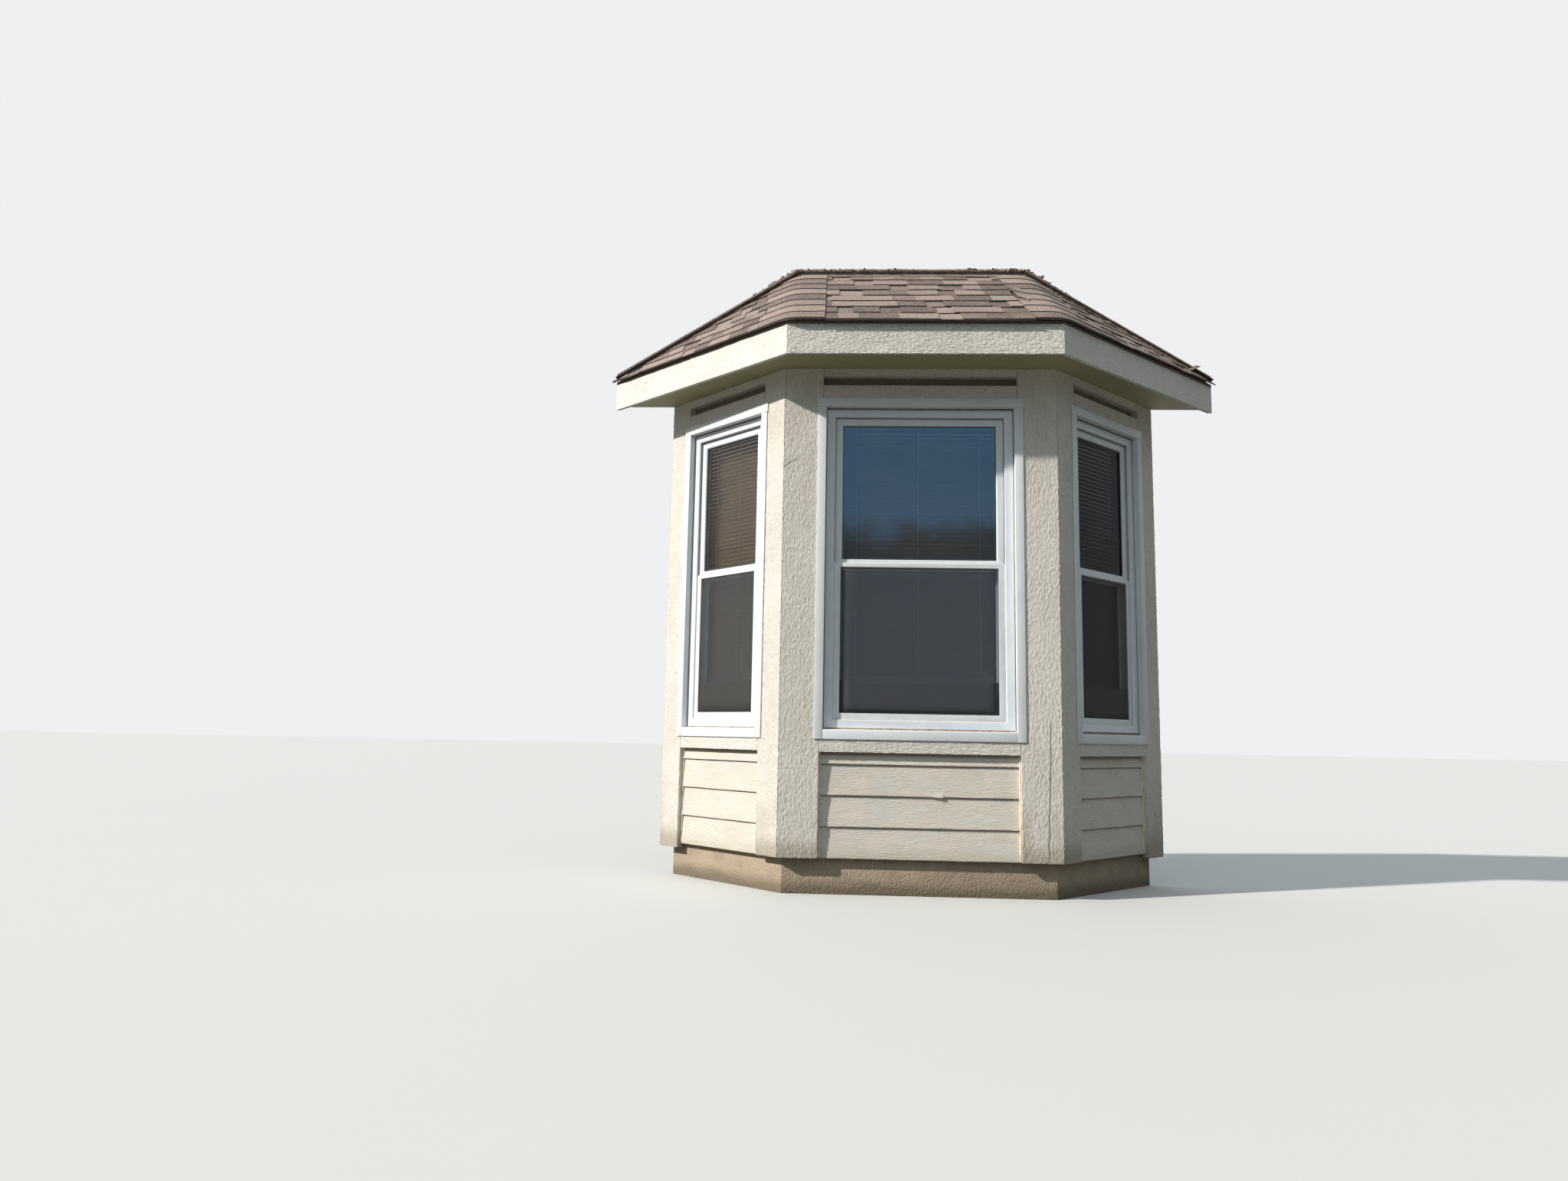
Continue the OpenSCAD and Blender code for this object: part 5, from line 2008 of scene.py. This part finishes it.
@dataclass
class Roof:
    """The shingle slopes, the caulk along the wall and what has caught in it."""

    ridge_half: float = 0.613
    over: float = 24.0 * MM
    deck: float = 15.0 * MM
    courses: int = 8
    wrap: float = 0.160
    wrap_low: float = 0.132
    hip_round: float = 0.055
    curled: tuple[int, ...] = (3, 4)
    curl_from: float = 0.04
    curl_high: float = 20.0 * MM
    broken: tuple[tuple[int, int], ...] = (
        (-34, -20), (-8, -27), (16, -19), (33, -22), (29, 4), (36, 19), (9, 15), (-4, 24),
        (-30, 17), (-26, -2))
    seed: int = 5
    wall_y: float = field(init=False)
    depth: float = field(init=False)
    eave_half: float = field(init=False)
    wall_half: float = field(init=False)
    eave_z: float = field(init=False)
    ridge_z: float = field(init=False)

    def __post_init__(self) -> None:
        """Reads the slopes' places off the frame."""
        front_low, front_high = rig.box("front_fascia")
        side_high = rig.box("right_fascia")[1]
        self.wall_y = side_high.y
        self.depth = self.wall_y - front_low.y
        self.eave_half = front_high.x
        self.wall_half = side_high.x
        self.eave_z = front_high.z
        self.ridge_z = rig.box("roof_frame")[1].z

    @property
    def course(self) -> float:
        """Depth of one course in plan."""
        return (self.depth + self.over) / self.courses

    def hip(self, down: float) -> float:
        """Half width of the front slope at a plan distance from the wall."""
        return self.ridge_half + (self.eave_half - self.ridge_half) * down / self.depth

    def height(self, down: float) -> float:
        """Height of the deck's top at a plan distance from the wall."""
        share = down / self.depth
        return self.ridge_z - (self.ridge_z - self.eave_z) * share + self.deck

    def front_point(self, x: float, down: float, lift: float) -> Vector:
        """A place on the front slope."""
        return Vector((x, self.wall_y - down, self.height(down) + lift))

    def side_point(self, side: int, s: float, down: float, lift: float) -> Vector:
        """A place on a side slope, or past its hip on the front slope.

        Args:
            side: 1 for the right slope, -1 for the left one.
            s: Distance from the hip along the course, positive on the front slope.
            down: Plan distance from the wall.
            lift: Height over the deck.

        Returns:
            The place in the shared frame.
        """
        hip = Vector((self.hip(down), self.wall_y - down))
        out = Vector((self.wall_half - self.eave_half, self.depth)).normalized()
        inner = Vector((-1.0, 0.0))
        r = self.hip_round
        if s >= r:
            place = hip + inner * s
        elif s <= -r:
            place = hip - out * s
        else:
            t = (s + r) / (2 * r)
            place = (1 - t) ** 2 * (hip + out * r) + 2 * t * (1 - t) * hip + t ** 2 * (hip + inner * r)
        return Vector((side * place.x, place.y, self.height(down) + lift))

    def tabs(self, finish: Finish) -> Growth:
        """Builds the tree that lays courses of tabs of random width, flat, from the wall down.

        Args:
            finish: Their finish.

        Returns:
            The tree.
        """
        g = Growth("Shingle tabs", {
            "Courses": 8, "Tabs": 12, "Course": 0.11, "Start": 0.0, "Narrow": 0.08,
            "Wide": 0.2, "Small gap": 0.002, "Large gap": 0.004, "Thickness": 0.003,
            "Lean": 0.003, "Lift": 0.0, "Splits": 6, "Seed": 1, "Shift": 0.1})
        tall = g.given("Thickness")
        tab = g.node("GeometryNodeMeshCube", inputs={
            "Size": g.vector(1.0, 1.0, tall), "Vertices X": g.given("Splits"), "Vertices Y": 3,
            "Vertices Z": 2})
        tab = g.node("GeometryNodeTransform", inputs={
            "Geometry": tab, "Translation": g.vector(0.5, -0.5, tall * 0.5)})
        facing = g.node("GeometryNodeInputNormal")
        top = g.part(facing, 2).maths("GREATER_THAN", 0.5)
        butt = g.part(facing, 1).maths("LESS_THAN", -0.5)
        # Butts and sides are marked for the near-black edge colour, partly painted shade.
        tab = g.marked(tab, "edge", "FACE", (1.0 - top) * (butt * 0.84 + 0.16))
        y = g.part(g.node("GeometryNodeInputPosition"), 1)
        tab = g.moved(tab, g.vector(0.0, 0.0, y * g.given("Lean") * -1.0))
        points = g.node("GeometryNodePoints", inputs={"Count": g.given("Courses") * g.given("Tabs")})
        index = g.node("GeometryNodeInputIndex")
        row = (index / g.given("Tabs") + 0.0001).maths("FLOOR")
        seed = g.given("Seed")
        width = g.random(g.given("Narrow"), g.given("Wide"), seed)
        skipped = g.random(0.0, 1.0, seed + 6).maths("GREATER_THAN", 0.55)
        gap = g.given("Small gap") + skipped * g.random(0.55, 1.0, seed + 1) * g.given("Large gap")
        run = g.node("GeometryNodeAccumulateField", {"data_type": "FLOAT"},
                     {"Value": width + gap, "Group ID": row}, output=1)
        shift = g.node("FunctionNodeRandomValue", {"data_type": "FLOAT"},
                       {2: 0.0, 3: g.given("Shift"), "ID": row, "Seed": seed + 2}, output=1)
        ragged = g.random(-1.8 * MM, 1.2 * MM, seed + 3)
        rise = g.given("Lift") + g.random(0.0, 1.0 * MM, seed + 4)
        place = g.vector(g.given("Start") - shift + run, row * g.given("Course") * -1.0, rise)
        points = g.node("GeometryNodeSetPosition", inputs={"Geometry": points, "Position": place})
        size = g.vector(width, g.given("Course") + ragged, 1.0)
        placed = g.node("GeometryNodeInstanceOnPoints", inputs={
            "Points": points, "Instance": tab, "Scale": size})
        toned = g.marked(placed, "tone", "INSTANCE", g.random(0.0, 1.0, seed + 5))
        g.finish(toned, finish.material())
        return g

    def cut(self, mesh: Mesh, planes: Sequence[Plane]) -> None:
        """Cuts a flat layer of tabs by upright planes and closes each tab again.

        Args:
            mesh: The layer.
            planes: A place and the outward direction of each plane.
        """
        bm = bmesh.new()
        bm.from_mesh(mesh)
        for place, way in planes:
            found = bmesh.ops.bisect_plane(
                bm, geom=[*bm.verts, *bm.edges, *bm.faces], dist=1e-6, plane_co=place,
                plane_no=way, clear_outer=True)
            rim = [e for e in found["geom_cut"] if isinstance(e, bmesh.types.BMEdge)]
            filled = bmesh.ops.holes_fill(bm, edges=rim, sides=0)["faces"]
            layer = bm.faces.layers.float.get("edge")
            for face in filled if layer else ():
                face[layer] = 0.5
        bm.to_mesh(mesh)
        bm.free()

    def bend(self, mesh: Mesh, to_roof: ToRoof, unevenness: float) -> None:
        """Lays a flat layer of tabs on the roof, a little unevenly.

        Args:
            mesh: The layer.
            to_roof: Takes a flat place and its height to the shared frame.
            unevenness: Number of the pattern of its waves.
        """
        for vert in mesh.vertices:
            s, down, lift = vert.co.x, -vert.co.y, vert.co.z
            wave = swell(s * 8.0, down * 31.0, unevenness)
            warp = swell(s * 5.0, down * 11.0, 4.0)
            row = math.floor(down / self.course + 0.02)
            cup = swell(s * 6.5, row * 7.1, 2.0) - 0.05
            cup = min(0.6, max(0.0, cup)) * max(0.0, down / self.course - row)
            edge = min(1.0, max(0.0, down / 0.05))
            down = min(down + wave * 4.5 * MM * edge, self.depth + self.over)
            vert.co = to_roof(s, down, lift + abs(warp) * 3.4 * MM + cup * 14.0 * MM)

    def layers(self, finish: Finish, start: float, width: float, seed: int, lift: float) -> list[Mesh]:
        """Grows the two layers of a slope: whole strips, and the random tabs on them.

        Args:
            finish: Their finish.
            start: Place of their first tab along the courses.
            width: Length of the courses.
            seed: Seed of their widths and tones.
            lift: Height over the deck.

        Returns:
            The two flat layers.
        """
        grower = self.tabs(finish)
        common = {"Courses": self.courses, "Course": self.course, "Start": start}
        strips = grower.grow(points_mesh(), {
            **common, "Tabs": math.ceil(width / 0.3) + 2, "Narrow": 0.30, "Wide": 0.31,
            "Small gap": 0.25 * MM, "Large gap": 0.4 * MM, "Thickness": 5.8 * MM,
            "Lean": 5.8 * MM, "Lift": lift, "Splits": 14, "Seed": seed, "Shift": 0.3})
        teeth = grower.grow(points_mesh(), {
            **common, "Tabs": math.ceil(width / 0.16) + 3, "Narrow": 0.085, "Wide": 0.19,
            "Small gap": 0.5 * MM, "Large gap": 0.13, "Thickness": 5.0 * MM,
            "Lean": 5.8 * MM, "Lift": lift + 5.9 * MM, "Splits": 8, "Seed": seed + 10, "Shift": 0.085})
        return [strips, teeth]

    def hip_caps(self, finish: Finish, seed: int) -> Mesh:
        """Grows the whole strips that run round a hip, one for each course.

        Args:
            finish: Their finish.
            seed: Seed of the slope.

        Returns:
            The flat layer.
        """
        return self.tabs(finish).grow(points_mesh(), {
            "Courses": self.courses, "Course": self.course, "Start": -0.16, "Tabs": 1,
            "Narrow": 0.36, "Wide": 0.40, "Small gap": 0.001, "Large gap": 0.002,
            "Thickness": 4.8 * MM, "Lean": 4.8 * MM, "Lift": 12.6 * MM, "Splits": 22,
            "Seed": seed + 15, "Shift": 0.045})

    def slope(self, name: str, node: str, layers: Sequence[Mesh], planes: Sequence[Plane],
              to_roof: ToRoof, finish: Finish) -> None:
        """Cuts, bends and publishes the layers of a slope as one piece.

        Args:
            name: Name of the piece.
            node: The node that it replaces.
            layers: Its flat layers.
            planes: A place and the outward direction of each plane that cuts them.
            to_roof: Takes a flat place and its height to the shared frame.
            finish: Its finish.
        """
        whole = bmesh.new()
        for index, mesh in enumerate(layers):
            self.cut(mesh, planes)
            self.bend(mesh, to_roof, float(index))
            whole.from_mesh(mesh)
        outwards(whole)
        publish(name, mesh_of(whole), finish, "shingles", [node])

    def wrap_lift(self, side: int, s: float, down: float) -> float:
        """How far the ends of some wrapped courses on the right have curled up."""
        curled = side > 0 and int(down / self.course) in self.curled and s > self.curl_from
        return self.curl_high * ((s - self.curl_from) / 0.11) ** 2 if curled else 0.0

    def shingles(self) -> None:
        """Lays the three slopes."""
        finish = Granules("shingle_granules")
        edge_left = -self.ridge_half + self.wrap
        edge_right = self.ridge_half - self.wrap
        lean = (self.wrap - self.wrap_low + self.eave_half - self.ridge_half) / self.depth
        front_planes = [
            (Vector((edge_left + 1.0 * MM, 0.0, 0.0)), Vector((-1.0, 0.0, 0.0))),
            (Vector((edge_right - 1.0 * MM, 0.0, 0.0)), Vector((1.0, lean, 0.0)).normalized()),
        ]
        front = self.layers(finish, -0.75, 1.5, self.seed, 0.0)
        self.slope("front_shingle_courses", "front_shingles", front, front_planes,
                   self.front_point, finish)
        run = math.hypot((self.wall_half - self.eave_half) / self.depth, 1.0)
        for side, name in ((1, "right"), (-1, "left")):
            grow = lean if side > 0 else 0.0
            narrows = (self.eave_half - self.ridge_half) / self.depth - grow
            layers = self.layers(finish, -1.45, 1.75, self.seed + 20 * (side + 2), 4.0 * MM)
            layers.append(self.hip_caps(finish, self.seed + 20 * (side + 2)))
            planes = [
                (Vector((self.wrap, 0.0, 0.0)), Vector((1.0, narrows, 0.0)).normalized()),
                (Vector(), Vector((-1.0, run, 0.0)).normalized()),
            ]

            def to_roof(s: float, down: float, lift: float, side: int = side) -> Vector:
                """Puts a place of the flat layer on this side's slope."""
                place = self.side_point(side, s, down, lift + self.wrap_lift(side, s, down))
                return Vector((place.x, min(place.y, self.wall_y), place.z))

            self.slope(f"{name}_shingle_courses", f"{name}_shingles", layers, planes, to_roof, finish)

    def caulk(self) -> None:
        """Runs the caulk along the top and down both verges, with what has caught in it."""
        y = self.wall_y - 10.0 * MM
        top_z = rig.box("wall_flashing")[1].z - 7.0 * MM
        low_z = self.eave_z + self.deck + 24.0 * MM
        line = [Vector((-self.wall_half + 0.03, y, low_z)), Vector((-self.ridge_half, y, top_z)),
                Vector((self.ridge_half, y, top_z)), Vector((self.wall_half - 0.03, y, low_z))]
        old = OldCaulk("old_caulk")
        gun = CaulkGun(old, "flashing", 1.1, self.wall_y)
        for name, path, radius in (("top", line[1:3], 8.0 * MM), ("left", line[:2], 6.0 * MM),
                                   ("right", line[2:], 6.0 * MM)):
            gun.lay(f"{name}_caulk", path, radius)
        silt = CaulkGun(PlainMatter("verge_silt", (0.15, 0.11, 0.09), (0.27, 0.21, 0.175), 30.0,
                                    0.9, 1.2 * MM), "flashing", 0.8, self.wall_y)
        low = [point - Vector((0.0, 6.0 * MM, 10.0 * MM)) for point in line]
        silt.lay("left_silt", low[:2], 14.0 * MM)
        silt.lay("right_silt", low[2:], 14.0 * MM)
        leaves = PlainMatter("dead_leaves", (0.15, 0.10, 0.065), (0.30, 0.215, 0.14), 40.0, 0.85,
                             0.5 * MM)
        near_left = [line[1].lerp(line[0], 0.16), line[1], line[1].lerp(line[2], 0.06)]
        near_right = [line[2].lerp(line[1], 0.12), line[2], line[2].lerp(line[3], 0.08)]
        litter = Litter(leaves, self.wall_y)
        litter.lay("leaf_crumbs", [line], 480, 7.0 * MM, 5)
        litter.lay("leaf_heaps", [near_right, near_left], 60, 10.0 * MM, 6)
        Litter(old, self.wall_y).lay("caulk_crumbs", [near_left, near_right], 90, 11.0 * MM, 7)

    def broken_tab(self, finish: Finish) -> None:
        """Adds the broken end of a shingle that stands up at the foot of the right verge.

        Args:
            finish: Its finish.
        """
        bm = bmesh.new()
        rings = [[bm.verts.new((x * MM, y * MM, z)) for x, y in self.broken] for z in (0.0, 4.0 * MM)]
        skin(bm, rings)
        for ring in rings:
            bm.faces.new(ring)
        outwards(bm)
        tones = bm.faces.layers.float.new("edge")
        for face in bm.faces:
            face[tones] = 0.0 if abs(face.normal.z) > 0.5 else 0.6
        down = self.depth * 0.90
        x = self.ridge_half + (self.wall_half - self.ridge_half) * 0.90
        place = Vector((x - 0.012, self.wall_y - 0.046, self.height(down) + 14.0 * MM))
        turn = Matrix.Rotation(math.radians(-24.0), 4, "Y") @ Matrix.Rotation(0.5, 4, "X")
        bmesh.ops.transform(bm, matrix=Matrix.Translation(place) @ turn, verts=bm.verts)
        publish("broken_tab", mesh_of(bm), finish, "shingles")

    def build(self) -> None:
        """Builds the roof covering."""
        self.shingles()
        self.caulk()
        self.broken_tab(Granules("shingle_granules"))


# Inside and below


@dataclass
class Carcass:
    """The masonry, the framing, the lining and the roof timbers."""

    faces: dict[str, Face]

    def build(self) -> None:
        """Dresses what carries the bay."""
        dress_copy("foundation", Masonry("parged_block"), "foundation", Edge.SAWN)
        for name, face in self.faces.items():
            paint_node(f"{name}_wall", Timber(f"timber_{name}", face.turn, Grain.UPRIGHT,
                                              painted_z=(2.30, 2.42)))
        plaster = PlainMatter("plasterboard", (0.72, 0.69, 0.62), (0.69, 0.66, 0.59), 5.0, 0.8,
                              0.2 * MM)
        paint_node("wall_lining", plaster)
        paint_node("ceiling", plaster)
        paint_node("roof_frame", Timber("timber_roof", math.pi / 2, Grain.LEVEL))
        # The deck's dark colours are painted shade for the dark band between the shingles' edge and the fascia.
        paint_node("roof_deck", Timber("timber_deck", 0.0, Grain.LEVEL, (0.15, 0.118, 0.092),
                                       (0.09, 0.07, 0.055)))
        paint_node("wall_flashing", PlainMatter(
            "flashing_paint", (0.15, 0.115, 0.095), (0.26, 0.205, 0.175), 26.0, 0.7, 0.8 * MM))


# Studio


def seen_rays(g: Graph) -> Value:
    """Tells rays that show the surround itself from rays that carry its light.

    Args:
        g: The node tree that it goes into.

    Returns:
        1 for the first and 0 for the others.
    """
    rays = g.node("ShaderNodeLightPath").socket.node
    seen = Value(g, rays.outputs["Is Camera Ray"])
    for name in ("Is Glossy Ray", "Is Transmission Ray"):
        seen = seen.maths("MAXIMUM", Value(g, rays.outputs[name]))
    return seen


@dataclass(frozen=True)
class Viewpoint:
    """The camera's place and turn, as solved from the photograph."""

    place: tuple[float, float, float] = (-0.408, -5.052, 0.710)
    yaw: float = math.radians(-2.572)
    pitch: float = math.radians(7.699)
    roll: float = math.radians(1.078)
    focal_pixels: float = 1388.1
    picture_width: float = 2048.0
    sensor: float = 36.0

    def build(self) -> None:
        """Adds the camera."""
        ahead = Vector((math.sin(self.yaw) * math.cos(self.pitch),
                        math.cos(self.yaw) * math.cos(self.pitch), math.sin(self.pitch)))
        level = Vector((math.cos(self.yaw), -math.sin(self.yaw), 0.0))
        up = level.cross(ahead)
        right = level * math.cos(self.roll) + up * math.sin(self.roll)
        top = up * math.cos(self.roll) - level * math.sin(self.roll)
        data = bpy.data.cameras.new("camera")
        data.sensor_width = self.sensor
        data.lens = self.sensor * self.focal_pixels / self.picture_width
        data.clip_start, data.clip_end = 0.1, 200.0
        camera = bpy.data.objects.new("camera", data)
        camera.matrix_world = from_columns((right, top, -ahead, Vector(self.place)))
        bpy.context.scene.collection.objects.link(camera)
        bpy.context.scene.camera = camera


@dataclass(frozen=True)
class Studio:
    """A pale floor, a pale surround and soft light from the upper left."""

    floor_colour: Colour = (0.60, 0.595, 0.585)
    floor_bounce: Colour = (0.065, 0.066, 0.055)
    surround: Colour = (0.86, 0.87, 0.88)
    fill_low: float = 0.07
    fill_high: float = 0.86
    fill_colour: Colour = (0.82, 0.945, 1.0)
    key: float = 4.35
    key_colour: Colour = (1.0, 0.955, 0.88)
    key_way: tuple[float, float, float] = (0.745, 0.345, -0.572)
    key_softness: float = math.radians(1.6)
    half: float = 60.0

    def floor_finish(self) -> Material:
        """Makes a pale floor that throws little light back up at the object.

        Returns:
            The material.
        """
        g = ShaderGraph("floor_finish")
        cloud = g.noise(g.place, 0.7, 3.0)
        pale = g.mottled(self.floor_colour, 0.985, cloud)
        body = g.blend(self.floor_bounce, pale, seen_rays(g))
        return g.surface(Base_Color=body, Roughness=0.85)

    def floor(self) -> None:
        """Adds the floor."""
        mesh = bpy.data.meshes.new("floor")
        corners = ((-1, -1), (1, -1), (1, 1), (-1, 1))
        mesh.from_pydata([(x * self.half, y * self.half, 0.0) for x, y in corners], [], [(0, 1, 2, 3)])
        mesh.materials.append(self.floor_finish())
        floor = bpy.data.objects.new("floor", mesh)
        bpy.context.scene.collection.objects.link(floor)
        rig.stage(floor)

    def world(self) -> None:
        """Adds the surround: light from the upper left, and pale where it is seen."""
        world = bpy.data.worlds.new("surround")
        world.use_nodes = True
        bpy.context.scene.world = world
        g = Graph(world.node_tree)
        way = g.node("ShaderNodeTexCoord", output="Generated")
        level = g.part(way, 2).rises(-0.1, 0.75) * (self.fill_high - self.fill_low) + self.fill_low
        level = level * (1.0 - g.part(way, 0).rises(-0.3, 0.8) * 0.55)
        dim = g.node("ShaderNodeBackground", inputs={
            "Color": (*self.fill_colour, 1.0), "Strength": level})
        pale = g.node("ShaderNodeBackground", inputs={"Color": (*self.surround, 1.0), "Strength": 1.0})
        both = g.node("ShaderNodeMixShader", inputs={0: seen_rays(g), 1: dim, 2: pale})
        g.node("ShaderNodeOutputWorld", inputs={"Surface": both})

    def lamp(self) -> None:
        """Adds the soft key light."""
        data = bpy.data.lights.new("key", "SUN")
        data.energy = self.key
        data.angle = self.key_softness
        data.color = self.key_colour
        lamp = bpy.data.objects.new("key", data)
        lamp.rotation_mode = "QUATERNION"
        lamp.rotation_quaternion = Vector(self.key_way).to_track_quat("-Z", "Y")
        lamp.location = (-4.0, -2.0, 5.0)
        bpy.context.scene.collection.objects.link(lamp)

    def build(self) -> None:
        """Sets up the studio."""
        self.floor()
        self.world()
        self.lamp()
        bpy.context.scene.view_settings.view_transform = "Standard"


def main() -> None:
    """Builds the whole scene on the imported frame."""
    logging.basicConfig(level=logging.INFO, format="%(message)s")
    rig.load()
    frame_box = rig.bounds()
    faces = bay_faces()
    Studio().build()
    Viewpoint().build()
    Carcass(faces).build()
    Boards(faces).build()
    LapSiding(faces).build()
    WindowShop(faces).build()
    Roof().build()
    sizes = {"frame": [list(c) for c in frame_box], "visual": [list(c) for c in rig.bounds()]}
    with open(SIZE_FILE, "w", encoding="utf-8") as handle:
        json.dump(sizes, handle)


if __name__ == "__main__":
    main()
